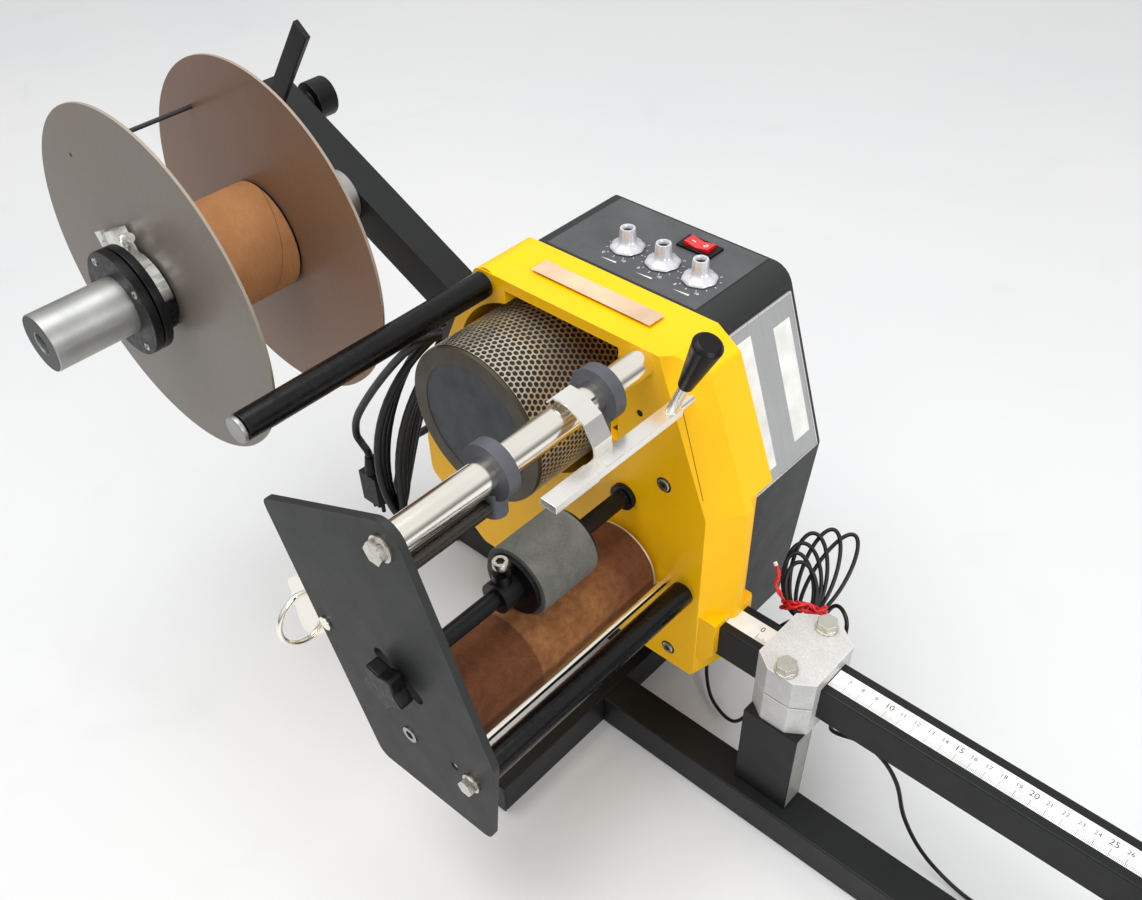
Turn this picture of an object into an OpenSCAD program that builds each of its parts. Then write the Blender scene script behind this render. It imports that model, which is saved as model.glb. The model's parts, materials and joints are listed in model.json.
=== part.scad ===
// Labelling machine on a tubular stand.
// Millimetres, +Z up. The floor is z 0, the casting's front face is y 0,
// and the rollers run along y out to the end plate on the -y side.

/* [Stand] */
// Side of the square steel tube of the feet and the bar
tube = 30; // [24:1:36]
// Wall of the square steel tube
tube_wall = 2.5; // [1.5:0.5:4]
// Length of a cross foot
foot_length = 280; // [240:5:360]
// Height of the bar's top above the floor
bar_top = 155; // [145:1:175]
// Far end of the bar, from the nip roller's axis
bar_end = 468; // [420:1:600]

/* [Body] */
// Height of the machine's top
top_z = 360; // [350:1:380]
// Depth of the front casting
casting_depth = 50; // [46:1:60]
// Depth of the hood behind the casting
hood_depth = 81; // [78:1:120]
// Wall of the hood
hood_wall = 4; // [3:0.5:6]

/* [Drum] */
// Radius of the mesh drum
drum_r = 58; // [50:0.5:60]
// Reach of the drum in front of the casting
drum_reach = 48; // [30:1:60]

/* [Rollers] */
// Clear span between the casting and the end plate
span = 200; // [190:1:240]
// Thickness of the end plate
plate_t = 5; // [3:0.5:8]
// Radius of the flocked roller
brown_r = 32; // [26:0.5:34]
// Radius of the pressure roller
press_r = 25.5; // [20:0.5:27]
// Radius of the guide tube
guide_r = 10; // [8:0.5:12]
// Radius of the two black guide rollers
guide_roller_r = 9; // [7:0.5:10]
// Outer radius of an edge collar
collar_r = 18; // [16:0.5:20]

/* [Reel] */
// Radius of the reel discs
disc_r = 117; // [90:1:125]
// Distance between the two discs
disc_gap = 87; // [60:1:100]
// Outer radius of the card core
core_r = 37; // [36.5:0.5:44]
// Radius of the mandrel
mandrel_r = 19; // [16:0.5:22]
// Length of the arm beyond the casting
arm_length = 225; // [210:1:260]

/* [Hidden] */
$fn = 64;

// Fits: a turning shaft in its bore, and the air beside a moving face
run_fit = 0.05;
gap = 0.5;

// Stand
rail_y = -7;
left_rail_y = 60;
cross_x = -16;
left_x = -255;
right_x = bar_end - 23;
foot_front = -134;
bar_y = 6 + tube / 2;
bar_z = bar_top - tube / 2;
bar_start = -40;
plug_t = 2;
upright_x = 142;
upright_w = 44;
upright_d = 20;
upright_y = rail_y + 5;
clamp_half = tube / 2 + 11;
clamp_low = bar_z - tube / 2 - 13;
bolt_off = tube / 2 + 9;
bolt_r = 4;
bolt_clear = 0.2;

// Machine axes, as x and z
drum_at = [-88, top_z - 81];
brown_at = [0, bar_top + 22];
press_at = [0, brown_at[1] + brown_r + press_r + gap];
guide_at = [10, top_z - guide_r - 1.5];
stop_at = guide_at + [3, -20];
upper_at = [-120, top_z - 8];
lower_at = [55, bar_top + 24];
chrome_at = [40, bar_top + 26];
lever_at = [41, top_z - 28];
chrome_r = 3;
stop_r = 5;
stop_end = -135;
press_shaft_r = 6;
star_r = 18.5;
star_waist = 12;
star_turn = 56;
brown_axle_r = 6;
roller_axle_r = 5;
drum_shaft_r = 7;

// Casting and hood
tilt = 26.57;
wall = 8;
well_r = drum_r + 7;
well_floor = 6;
side_top = [-130, top_z];
side_len = 85;
side_low = side_top - side_len * [sin(tilt), cos(tilt)];
hood_back = casting_depth + hood_depth;
hood_drop = 124;
hood_corner = [26, top_z];
hood_kink = [69, top_z - hood_drop];
hood_top_x = -122;
hood_shoulder_x = -160;
hood_shoulder_drop = 76;
hood_left = -198;
hood_side_high = 178;
hood_side_low = 150;
hood_floor_left = -150;
hood_floor_right = 55;
hood_floor = 66;
label_low = 130;
label_high = 15;
board_left = -130;
board_right = 20;
board_z = 84;
board_t = 1.6;
hood_slope = atan2(hood_kink[0] - hood_corner[0], hood_corner[1] - hood_kink[1]);
motor_at = [drum_at[0], drum_at[1] - 109];
motor_r = 30;
switch_y = casting_depth + 61;
rocker_x = -31;
rocker_pivot = [rocker_x, top_z - 0.9];
rocker_pivot_r = 0.8;
pulley_y = casting_depth + 26;
pulley_w = 16;
drum_pulley_r = 22;
motor_pulley_r = 11;
motor_front = pulley_y + pulley_w + 6;

// Reel, with the arm square to the casting's upper left side
arm_root = side_top - 62.5 * [sin(tilt), cos(tilt)];
arm_dir = [-cos(tilt), sin(tilt)];
arm_h = 30;
arm_d = 25;
arm_y = 6;
arm_wall = 2.5;
reel_at = arm_root + 125 * arm_dir;
knob_at = arm_root + (arm_length - 20) * arm_dir;
disc_t = 2;
pin_inset = 25;
mandrel_nose = 83;
mandrel_bore = 25;
hub_nose = 27;
hub_tail = 12;
front_disc_y = -149;
rear_disc_y = front_disc_y + disc_gap;
hub_r = mandrel_r + 5;
core_wall = 3;
core_ring = 7;
pin_at = reel_at + (disc_r - pin_inset) * [-0.62, 0.785];
pin_r = 1.5;
knob_bolt_r = 4;

// Cords and the glands that they leave by
mains_r = 3.5;
sensor_r = 1.5;
gland_y = casting_depth + 45;
mains_gland = 16;
mains_gland_z = 164;
sensor_gland = 12;
sensor_gland_x = 22;

function unit(v) = v / norm(v);
function at(p, i) = p[(i + len(p)) % len(p)];
function half_angle(p, i) = acos(unit(at(p, i - 1) - p[i]) * unit(at(p, i + 1) - p[i])) / 2;
function tangent_point(p, i, k, r) = p[i] + unit(at(p, i + k) - p[i]) * r / tan(half_angle(p, i));
function arc_centre(p, i, r) =
    p[i] + unit(unit(at(p, i - 1) - p[i]) + unit(at(p, i + 1) - p[i])) * r / sin(half_angle(p, i));

function corner_arc(p, i, r) =
    let (c = arc_centre(p, i, r), a = tangent_point(p, i, -1, r) - c, b = tangent_point(p, i, 1, r) - c)
    [for (k = [0:6]) c + r * unit(a * (6 - k) + b * k)];

// A polygon whose corners are rounded to the radii given
module rounded(p, r) {
    polygon([for (i = [0:len(p) - 1]) each r[i] > 0 ? corner_arc(p, i, r[i]) : [p[i]]]);
}

// Extrudes a shape drawn in x and z from y0 to y1
module along_y(y0, y1) {
    translate([0, y1, 0])
        rotate([90, 0, 0])
            linear_extrude(y1 - y0)
                children();
}

// A round bar along y
module rod(r, p, y0, y1) {
    translate([p[0], y1, p[1]])
        rotate([90, 0, 0])
            cylinder(r = r, h = y1 - y0);
}

// Box by its low corner and its high corner
module box(a, b) {
    translate(a)
        cube(b - a);
}

// A square tube along x or y, open at both ends
module tube_x(x0, x1, y, z) {
    difference() {
        box([x0, y - tube / 2, z - tube / 2], [x1, y + tube / 2, z + tube / 2]);
        box([x0 - 1, y - tube / 2 + tube_wall, z - tube / 2 + tube_wall],
            [x1 + 1, y + tube / 2 - tube_wall, z + tube / 2 - tube_wall]);
    }
}

module tube_y(x, y0, y1, z) {
    difference() {
        box([x - tube / 2, y0, z - tube / 2], [x + tube / 2, y1, z + tube / 2]);
        box([x - tube / 2 + tube_wall, y0 - 1, z - tube / 2 + tube_wall],
            [x + tube / 2 - tube_wall, y1 + 1, z + tube / 2 - tube_wall]);
    }
}

// A plug for a square tube, its cap outwards along +z
module plug() {
    inner = tube / 2 - tube_wall;
    box([-tube / 2, -tube / 2, 0], [tube / 2, tube / 2, plug_t]);
    box([-inner, -inner, -10], [inner, inner, 0]);
}

// Stand

module foot_rails() {
    color([0.06, 0.06, 0.07]) {
        tube_x(cross_x + tube / 2, right_x - tube / 2, rail_y, tube / 2);
        tube_x(left_x + tube / 2, cross_x - tube / 2, left_rail_y, tube / 2);
    }
}

module cross_feet() {
    color([0.06, 0.06, 0.07]) {
        tube_y(cross_x, foot_front, foot_front + foot_length, tube / 2);
        tube_y(right_x, foot_front, foot_front + foot_length, tube / 2);
        tube_y(left_x, left_rail_y - tube / 2, foot_front + foot_length, tube / 2);
    }
}

module tube_plugs() {
    color([0.03, 0.03, 0.03]) {
        for (x = [cross_x, right_x])
            translate([x, foot_front, tube / 2])
                rotate([90, 0, 0])
                    plug();
        translate([left_x, left_rail_y - tube / 2, tube / 2])
            rotate([90, 0, 0])
                plug();
        for (x = [cross_x, right_x, left_x])
            translate([x, foot_front + foot_length, tube / 2])
                rotate([-90, 0, 0])
                    plug();
        translate([bar_end, bar_y, bar_z])
            rotate([0, 90, 0])
                plug();
    }
}

module upright() {
    color([0.07, 0.07, 0.08])
        difference() {
            box([upright_x - upright_w / 2, upright_y - upright_d / 2, tube],
                [upright_x + upright_w / 2, upright_y + upright_d / 2, clamp_low]);
            box([upright_x - upright_w / 2 + tube_wall, upright_y - upright_d / 2 + tube_wall, tube - 1],
                [upright_x + upright_w / 2 - tube_wall, upright_y + upright_d / 2 - tube_wall, clamp_low - 22]);
            translate([upright_x, bar_y - bolt_off, clamp_low - 30])
                cylinder(r = bolt_r, h = 40);
        }
}

module clamp_plan() {
    polygon([[-23, -clamp_half + 4], [-10, -clamp_half - 5], [10, -clamp_half - 5], [23, -clamp_half + 4],
        [23, clamp_half - 4], [10, clamp_half + 5], [-10, clamp_half + 5], [-23, clamp_half - 4]]);
}

module clamp_half_block(z0, z1) {
    difference() {
        translate([upright_x, bar_y, z0])
            linear_extrude(z1 - z0)
                clamp_plan();
        box([0, bar_y - tube / 2, bar_z - tube / 2], [300, bar_y + tube / 2, bar_z + tube / 2]);
        for (s = [-1, 1])
            translate([upright_x, bar_y + s * bolt_off, z0 - 1])
                cylinder(r = bolt_r + bolt_clear, h = z1 - z0 + 2);
    }
}

module clamp_lower() {
    color([0.72, 0.72, 0.71])
        clamp_half_block(clamp_low, bar_z - 0.75);
}

module clamp_upper() {
    color([0.74, 0.74, 0.73])
        clamp_half_block(bar_z + 0.75, bar_top + 11);
}

module clamp_bolts() {
    color([0.6, 0.6, 0.58])
        for (s = [-1, 1])
            translate([upright_x, bar_y + s * bolt_off, 0]) {
                low = s < 0 ? clamp_low - 16 : clamp_low - 10;
                translate([0, 0, low])
                    cylinder(r = bolt_r, h = bar_top + 12 - low);
                translate([0, 0, bar_top + 11])
                    cylinder(r = 8, h = 1.6);
                translate([0, 0, bar_top + 12.6])
                    cylinder(r = 7.5, h = 5.3, $fn = 6);
                if (s > 0)
                    translate([0, 0, clamp_low - 6.5])
                        cylinder(r = 7.5, h = 6.5, $fn = 6);
            }
}

module ruler_bar() {
    color([0.05, 0.05, 0.06])
        tube_x(bar_start, bar_end, bar_y, bar_z);
}

// Casting and hood

module casting_outline() {
    rounded([side_top, [30, top_z], [48, top_z - 12], [85, top_z - 105], [85, bar_top - 37], [64, bar_top - 62],
        [-150, bar_top - 62], [-206, bar_top - 15], [-206, bar_top + 21], side_low],
        [8, 0, 6, 8, 5, 4, 10, 10, 10, 0]);
}

module casting_inside() {
    polygon([[-124, top_z - wall], [24, top_z - wall], [38, top_z - 20], [62, top_z - 80], [62, bar_top - 54],
        [-146, bar_top - 54], [-197, bar_top - 11], [-197, bar_top + 19], [side_low[0] + 9, side_low[1] - 2]]);
}

module well_outline(grow) {
    translate(drum_at)
        circle(well_r + grow);
    translate([drum_at[0] - 16 - grow, drum_at[1]])
        square([97 + 2 * grow, top_z - wall - drum_at[1]]);
}

// Half space that bevels the front right edge along a slope
module bevel(p, slope) {
    translate([p[0], 20, p[1]])
        rotate([0, -slope, 0])
            rotate([0, 0, -42])
                translate([0, -150, -400])
                    cube([100, 300, 800]);
}

module boss(r, p, y1) {
    rod(r, p, 0.5, y1);
}

// The casting before its edges are bevelled and its holes are bored
module casting_block() {
    difference() {
        along_y(0, casting_depth)
            casting_outline();
        along_y(wall, casting_depth + 1)
            casting_inside();
    }
    along_y(1, casting_depth)
        intersection() {
            well_outline(5);
            casting_outline();
        }
    box([bar_start - 5, 1, bar_z - tube / 2 - 6], [70, bar_y + tube / 2 + 6, bar_z + tube / 2 + 6]);
    boss(12, press_at, 30);
    boss(12, brown_at, 30);
    boss(10, upper_at, 34);
    boss(guide_r + 1.5, guide_at, 16);
    boss(8, chrome_at, 20);
    boss(9, lower_at, 24);
    boss(8, lever_at, 32);
}

module front_casting() {
    color([0.95, 0.72, 0.02])
        difference() {
            union() {
                difference() {
                    casting_block();
                    bevel([48, top_z - 12], 21.7);
                    bevel([85, top_z - 105], 0);
                    box([72, 26, bar_top + 8], [100, 100, top_z - 98]);
                    box([72, bar_y + tube / 2 + 3, 0], [100, 100, bar_top + 8]);
                }
                along_y(0.5, bar_y + tube / 2 + 7)
                    polygon([[60, bar_top - 38], [74, bar_top - 38], [82, bar_top - 26], [82, bar_top + 5],
                        [60, bar_top + 5]]);
            }
            along_y(-1, casting_depth - well_floor)
                well_outline(0);
            rod(drum_shaft_r + run_fit, drum_at, 0, casting_depth + 1);
            box([bar_start, bar_y - tube / 2, bar_z - tube / 2], [120, bar_y + tube / 2, bar_z + tube / 2]);
            rod(guide_r, guide_at, -1, 12);
            rod(press_shaft_r, press_at, -1, 25);
            rod(brown_axle_r, brown_at, -1, 25);
            rod(roller_axle_r, upper_at, -1, 30);
            rod(roller_axle_r, lower_at, -1, 20);
            rod(chrome_r, chrome_at, -1, 15);
            rod(4 + run_fit, lever_at, -1, 28);
        }
}

module hood_outline(w) {
    k = w / cos(hood_slope);
    rounded([[hood_top_x + w, top_z - w], [hood_corner[0] - k * 0.7, top_z - w],
        [hood_kink[0] - w, hood_kink[1] - w / 4], [hood_floor_right - w, hood_floor + w],
        [hood_floor_left + w / 2, hood_floor + w], [hood_left + w, hood_side_low + w / 3],
        [hood_left + w, hood_side_high - w / 4], [hood_shoulder_x + w, top_z - hood_shoulder_drop]],
        [6, 16 - w, 6, 8, 6, 6, 6, 0]);
}

module hood() {
    color([0.09, 0.09, 0.1])
        difference() {
            along_y(casting_depth, hood_back)
                hood_outline(0);
            along_y(casting_depth - 1, hood_back - hood_wall)
                hood_outline(hood_wall);
            for (x = [-68, -38, -8])
                translate([x, casting_depth + 31, top_z - 20])
                    cylinder(r = 3 + run_fit, h = 40);
            box([-43, switch_y - 6, top_z - 20], [-19, switch_y + 6, top_z + 1]);
            translate([hood_left - 22, gland_y, mains_gland_z])
                rotate([0, 90, 0])
                    cylinder(r = 5, h = 40);
            translate([sensor_gland_x, gland_y, hood_floor - 26])
                cylinder(r = 4, h = 40);
        }
}

module data_plate() {
    color([0.55, 0.56, 0.57])
        translate([hood_corner[0], 0, hood_corner[1]])
            rotate([0, -hood_slope, 0])
                box([0, casting_depth + 3, -label_low], [1.5, hood_back - 5, -label_high]);
}

module knob(x) {
    color([0.75, 0.76, 0.78])
        translate([x, casting_depth + 31, top_z]) {
            translate([0, 0, gap])
                cylinder(r1 = 12, r2 = 11.4, h = 1.6);
            translate([0, 0, gap + 1.6])
                cylinder(r1 = 11.4, r2 = 5.8, h = 4.2);
            translate([0, 0, gap + 5.8])
                cylinder(r1 = 5.8, r2 = 5.3, h = 8.7);
            translate([0, 0, -9])
                cylinder(r = 3, h = 10);
        }
}

module knob_left() {
    knob(-68);
}

module knob_middle() {
    knob(-38);
}

module knob_right() {
    knob(-8);
}

module switch_bezel() {
    color([0.03, 0.03, 0.03])
        difference() {
            union() {
                box([-45, switch_y - 7.5, top_z], [-17, switch_y + 7.5, top_z + 2]);
                box([-43, switch_y - 6, top_z - 14], [-19, switch_y + 6, top_z]);
            }
            box([-41.5, switch_y - 5.2, top_z - 15], [-20.5, switch_y + 5.2, top_z + 3]);
            rod(rocker_pivot_r + run_fit, rocker_pivot, switch_y - 6, switch_y + 6);
        }
}

module switch_rocker() {
    color([0.75, 0.03, 0.04]) {
        translate([rocker_x, 0, top_z])
            along_y(switch_y - 4.7, switch_y + 4.7)
                polygon([[-9.7, -3], [9.7, -3], [9.7, 4.5], [0, 2.6], [-9.7, 4.5]]);
        rod(rocker_pivot_r, rocker_pivot, switch_y - 5.9, switch_y + 5.9);
    }
}

// Drum and its drive

module drum_sleeve() {
    color([0.3, 0.28, 0.24])
        difference() {
            rod(drum_r, drum_at, -drum_reach, casting_depth - well_floor - 3);
            rod(drum_r - 4, drum_at, -drum_reach - 1, 26);
            rod(drum_r - 4, drum_at, 34, casting_depth);
            rod(drum_shaft_r, drum_at, 20, 40);
        }
}

module drum_cap() {
    color([0.1, 0.1, 0.1])
        difference() {
            union() {
                rod(drum_r, drum_at, -drum_reach - 3, -drum_reach);
                rod(drum_r - 4, drum_at, -drum_reach, -drum_reach + 6);
                rod(14, drum_at, -drum_reach, -drum_reach + 14);
            }
            rod(drum_r - 12, drum_at, -drum_reach - 4, -drum_reach - 2.4);
            rod(drum_shaft_r, drum_at, -drum_reach + 2, -drum_reach + 15);
        }
}

module drum_shaft() {
    color([0.6, 0.6, 0.6])
        rod(drum_shaft_r, drum_at, -drum_reach + 2, pulley_y + pulley_w + 4);
}

module pulley(r, bore, p) {
    difference() {
        union() {
            rod(r, p, pulley_y, pulley_y + pulley_w);
            rod(r + 3, p, pulley_y, pulley_y + 2);
            rod(r + 3, p, pulley_y + pulley_w - 2, pulley_y + pulley_w);
        }
        if (bore > 0)
            rod(bore, p, pulley_y - 1, pulley_y + pulley_w + 1);
    }
}

module drum_pulley() {
    color([0.65, 0.65, 0.66])
        pulley(drum_pulley_r, drum_shaft_r, drum_at);
}

module belt_outline(grow) {
    r1 = drum_pulley_r + grow;
    r2 = motor_pulley_r + grow;
    a = asin((r1 - r2) / (drum_at[1] - motor_at[1]));
    over = (180 + 2 * a) / 32;
    under = (180 - 2 * a) / 32;
    polygon(concat(
        [for (k = [0:32]) drum_at + r1 * [cos(k * over - a), sin(k * over - a)]],
        [for (k = [0:32]) motor_at + r2 * [cos(180 + a + k * under), sin(180 + a + k * under)]]));
}

module drive_belt() {
    color([0.04, 0.04, 0.04])
        along_y(pulley_y + 3, pulley_y + pulley_w - 3)
            difference() {
                belt_outline(2.4);
                belt_outline(0.4);
            }
}

module motor() {
    color([0.2, 0.2, 0.21])
        difference() {
            union() {
                rod(motor_r, motor_at, motor_front, hood_back - hood_wall);
                rod(10, motor_at, motor_front - 4, motor_front);
            }
            rod(4 + run_fit, motor_at, motor_front - 5, motor_front + 14);
        }
}

module motor_pulley() {
    color([0.65, 0.65, 0.66]) {
        pulley(motor_pulley_r, 0, motor_at);
        rod(4, motor_at, pulley_y - 4, motor_front + 12);
    }
}

module circuit_board() {
    color([0.05, 0.3, 0.12]) {
        box([board_left, casting_depth + 14, board_z], [board_right, casting_depth + 70, board_z + board_t]);
        for (x = [board_left + 8, board_right - 8])
            for (y = [20, 64])
                translate([x, casting_depth + y, hood_floor + hood_wall])
                    cylinder(r = 3, h = board_z - hood_floor - hood_wall);
        translate([board_left, casting_depth, board_z]) {
            box([20, 20, 1], [60, 55, 24]);
            box([80, 24, 1], [100, 44, 12]);
        }
        translate([board_right - 20, casting_depth + 40, board_z + 1])
            cylinder(r = 8, h = 22);
    }
}

// Rods and rollers in front of the casting

module guide_tube() {
    color([0.8, 0.8, 0.8])
        difference() {
            rod(guide_r, guide_at, -span, 12);
            rod(guide_r - 2.5, guide_at, -span + 16, 13);
            rod(bolt_r, guide_at, -span - 1, -span + 12);
        }
}

module collar(y) {
    color([0.2, 0.21, 0.24])
        difference() {
            union() {
                rod(collar_r, guide_at, y - 4.5, y + 4.5);
                translate([guide_at[0], y, guide_at[1] - collar_r - 13])
                    cylinder(r = 7.5, h = 18);
            }
            rod(guide_r + run_fit, guide_at, y - 6, y + 6);
        }
}

module front_collar() {
    collar(-126);
}

module rear_collar() {
    collar(-38);
}

module lever_bar() {
    color([0.75, 0.75, 0.74]) {
        box([lever_at[0] - 5.5, -115, lever_at[1] - 2.5], [lever_at[0] + 5.5, -3, lever_at[1] + 2.5]);
        rod(4, lever_at, -3, 26);
        translate([lever_at[0], -9, lever_at[1]])
            rotate([0, 21.8, 0])
                cylinder(r = 3.5, h = 36);
    }
}

module lever_grip() {
    color([0.03, 0.03, 0.03])
        translate([lever_at[0], -9, lever_at[1]])
            rotate([0, 21.8, 0])
                difference() {
                    union() {
                        translate([0, 0, 27])
                            cylinder(r1 = 4.7, r2 = 9.5, h = 37);
                        translate([0, 0, 64])
                            cylinder(r1 = 9.5, r2 = 7, h = 2.5);
                    }
                    translate([0, 0, 26])
                        cylinder(r = 3.5, h = 10);
                }
}

function strip_side(p, i, t) =
    let (a = unit(p[i] - p[max(i - 1, 0)] + (i == 0 ? p[1] - p[0] : [0, 0])),
        b = unit(p[min(i + 1, len(p) - 1)] - p[i] + (i == len(p) - 1 ? p[i] - p[i - 1] : [0, 0])),
        m = unit(a + b))
    p[i] + t / (m * a) * [-m[1], m[0]];

module hold_down_strip() {
    p = [for (q = [[-40, 25.5], [-35, 31], [-24, 30.5], [-12, 23], [-5, 11], [-4, 3.1], [5, 3.1]]) lever_at + q];
    color([0.8, 0.8, 0.78])
        along_y(-72, -57)
            polygon(concat([for (i = [0:len(p) - 1]) strip_side(p, i, 0.6)],
                [for (i = [len(p) - 1:-1:0]) strip_side(p, i, -0.6)]));
}

module pressure_roller() {
    color([0.35, 0.36, 0.36])
        difference() {
            rod(press_r, press_at, -106, -57);
            rod(press_r - 5.5 + run_fit, press_at, -107, -56);
        }
}

module pressure_hub() {
    color([0.03, 0.03, 0.03])
        difference() {
            union() {
                rod(press_r - 5.5, press_at, -106.5, -56.5);
                rod(press_r - 3.5, press_at, -109.5, -106.5);
                rod(press_r - 3.5, press_at, -56.5, -53.5);
                rod(11, press_at, -125, -109.5);
                translate([press_at[0], -117.5, press_at[1] + 7])
                    cylinder(r = 6, h = 11);
            }
            rod(press_shaft_r, press_at, -130, -50);
        }
}

module pressure_shaft() {
    color([0.03, 0.03, 0.03]) {
        rod(press_shaft_r, press_at, -span, 25);
        rod(10, press_at, -4, 0);
        rod(4, press_at, -span - plate_t - 10, -span);
    }
}

module star_knob() {
    y = -span - plate_t - gap;
    color([0.03, 0.03, 0.03])
        difference() {
            union() {
                rod(8, press_at, y - 3, y);
                along_y(y - 13, y - 3)
                    translate(press_at)
                        rounded([for (k = [0:9]) (k % 2 == 0 ? star_r : star_waist)
                            * [cos(star_turn + 36 * k), sin(star_turn + 36 * k)]],
                            [for (k = [0:9]) k % 2 == 0 ? 2 : 3]);
            }
            rod(4 + run_fit, press_at, y - 11, y + 1);
        }
}

module brown_roller() {
    color([0.3, 0.16, 0.08])
        difference() {
            rod(brown_r, brown_at, -span + 10, -6);
            rod(brown_axle_r + run_fit, brown_at, -span + 9, -5);
        }
}

module brown_axle() {
    color([0.6, 0.6, 0.6])
        difference() {
            rod(brown_axle_r, brown_at, -span - plate_t - 1, 25);
            translate([brown_at[0], -span - plate_t + 5, brown_at[1]])
                rotate([90, 0, 0])
                    cylinder(r = 3.5, h = 8, $fn = 6);
        }
}

module chrome_rod() {
    color([0.85, 0.85, 0.85])
        rod(chrome_r, chrome_at, -span - plate_t + 1, 15);
}

module lower_roller() {
    color([0.03, 0.03, 0.03])
        difference() {
            rod(guide_roller_r, lower_at, -span + 3, -3);
            rod(roller_axle_r + run_fit, lower_at, -span + 2, -2);
        }
}

module lower_axle() {
    color([0.6, 0.6, 0.6])
        difference() {
            rod(roller_axle_r, lower_at, -span, 20);
            rod(3, lower_at, -span - 1, -span + 14);
        }
}

module upper_roller() {
    color([0.03, 0.03, 0.03])
        difference() {
            rod(guide_roller_r, upper_at, -span + 4, -3);
            rod(roller_axle_r + run_fit, upper_at, -span + 3, -2);
        }
}

module upper_axle() {
    color([0.8, 0.8, 0.8]) {
        rod(roller_axle_r, upper_at, -span, 30);
        rod(guide_roller_r - 0.4, upper_at, -span, -span + 3.4);
    }
}

// End plate

module plate_outline() {
    rounded([[-103, top_z - 45], [20, top_z + 12.5], [76, bar_top + 56], [66, bar_top - 30], [-38, bar_top - 35]],
        [7, 14, 14, 8, 10]);
}

module end_plate() {
    color([0.09, 0.09, 0.1])
        difference() {
            along_y(-span - plate_t, -span)
                plate_outline();
            rod(bolt_r, guide_at, -span - plate_t - 1, -span + 1);
            rod(3, lower_at, -span - plate_t - 1, -span + 1);
            rod(brown_axle_r, brown_at, -span - plate_t - 1, -span + 1);
            rod(chrome_r, chrome_at, -span - plate_t - 1, -span + 1);
            rod(3, latch_rivet, -span - plate_t - 1, -span + 1);
            rod(3, stop_at, -span - 3, -span + 1);
            along_y(-span - plate_t - 1, -span + 1)
                translate(press_at)
                    rotate(-29)
                        rounded([[-21.5, -5.5], [21.5, -5.5], [21.5, 5.5], [-21.5, 5.5]], [5, 5, 5, 5]);
        }
}

module plate_bolt(p, r, head, depth) {
    rod(r, p, -span - plate_t, -span + depth);
    rod(head + 1, p, -span - plate_t - 1.6, -span - plate_t);
    translate([p[0], -span - plate_t - 1.6, p[1]])
        rotate([90, 0, 0])
            cylinder(r = head, h = 5, $fn = 6);
}

module plate_bolts() {
    color([0.75, 0.75, 0.73]) {
        plate_bolt(guide_at, bolt_r, 7.5, 10);
        plate_bolt(lower_at, 3, 6, 12);
        rod(3, stop_at, -span - 3, -span);
        rod(stop_r, stop_at, -span, stop_end);
    }
}

latch_rivet = [-66, bar_top + 78];
latch_eye = [-105, bar_top + 69];
latch_t = 3;
ring_r = 20;
ring_hang = 92;
wire_r = 2;
eye_r = wire_r + ring_r - sqrt(ring_r * ring_r - latch_t * latch_t / 4) + 1.4 * run_fit;

module latch_bracket() {
    color([0.85, 0.85, 0.83]) {
        difference() {
            along_y(-span, -span + latch_t)
                rounded([latch_eye + [-6, 12], latch_eye + [10, 26], latch_rivet + [0, 13], latch_rivet + [10, 3],
                    latch_rivet + [6, -11], latch_eye + [21, -20], latch_eye + [7, -35], latch_eye + [-5, -34]],
                    [3, 5, 6, 4, 4, 8, 4, 4]);
            rod(eye_r, latch_eye, -span - 1, -span + latch_t + 1);
        }
        rod(3, latch_rivet, -span - plate_t - 1, -span);
        rod(5, latch_rivet, -span - plate_t - 2, -span - plate_t);
    }
}

module latch_ring() {
    color([0.75, 0.75, 0.75])
        translate([latch_eye[0], -span + latch_t / 2, latch_eye[1]])
            rotate([0, -ring_hang, 0])
                translate([-ring_r, 0, 0])
                    rotate_extrude()
                        translate([ring_r, 0])
                            circle(wire_r, $fn = 16);
}

// Reel and its arm

module arm_frame() {
    translate([arm_root[0], 0, arm_root[1]])
        rotate([0, 180 + tilt, 0])
            children();
}

module reel_arm() {
    color([0.06, 0.06, 0.07])
        difference() {
            arm_frame() {
                box([0, arm_y - 4, -28], [6, arm_y + arm_d + 14, 28]);
                box([5, arm_y, -arm_h / 2], [arm_length, arm_y + arm_d, arm_h / 2]);
            }
            arm_frame()
                box([7, arm_y + arm_wall, -arm_h / 2 + arm_wall],
                    [arm_length - 8, arm_y + arm_d - arm_wall, arm_h / 2 - arm_wall]);
            rod(8, reel_at, arm_y - 1, arm_y + arm_d + 1);
            rod(knob_bolt_r + run_fit, knob_at, arm_y - 1, arm_y + arm_d + 1);
        }
}

module mandrel() {
    color([0.7, 0.7, 0.7])
        difference() {
            union() {
                rod(mandrel_r, reel_at, front_disc_y - mandrel_nose, arm_y);
                rod(8, reel_at, arm_y, arm_y + arm_d + 2);
            }
            rod(7, reel_at, front_disc_y - mandrel_nose - 1, front_disc_y - mandrel_nose + mandrel_bore);
        }
}

module reel_hub() {
    color([0.04, 0.04, 0.04])
        difference() {
            union() {
                rod(hub_r, reel_at, front_disc_y - hub_nose, rear_disc_y + hub_tail);
                rod(35, reel_at, front_disc_y - hub_nose, front_disc_y - 21);
                rod(32, reel_at, front_disc_y - 21, front_disc_y - 20);
                rod(35, reel_at, front_disc_y - 20, front_disc_y - 14);
                rod(core_r - core_wall, reel_at, front_disc_y, front_disc_y + 10);
                rod(core_r - core_wall, reel_at, rear_disc_y - core_ring - 7, rear_disc_y - core_ring);
                rod(core_r - 0.5, reel_at, rear_disc_y - core_ring, rear_disc_y);
                rod(hub_r + 6, reel_at, rear_disc_y + disc_t, rear_disc_y + hub_tail);
            }
            rod(mandrel_r + run_fit, reel_at, front_disc_y - hub_nose - 1, rear_disc_y + hub_tail + 1);
        }
}

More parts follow.
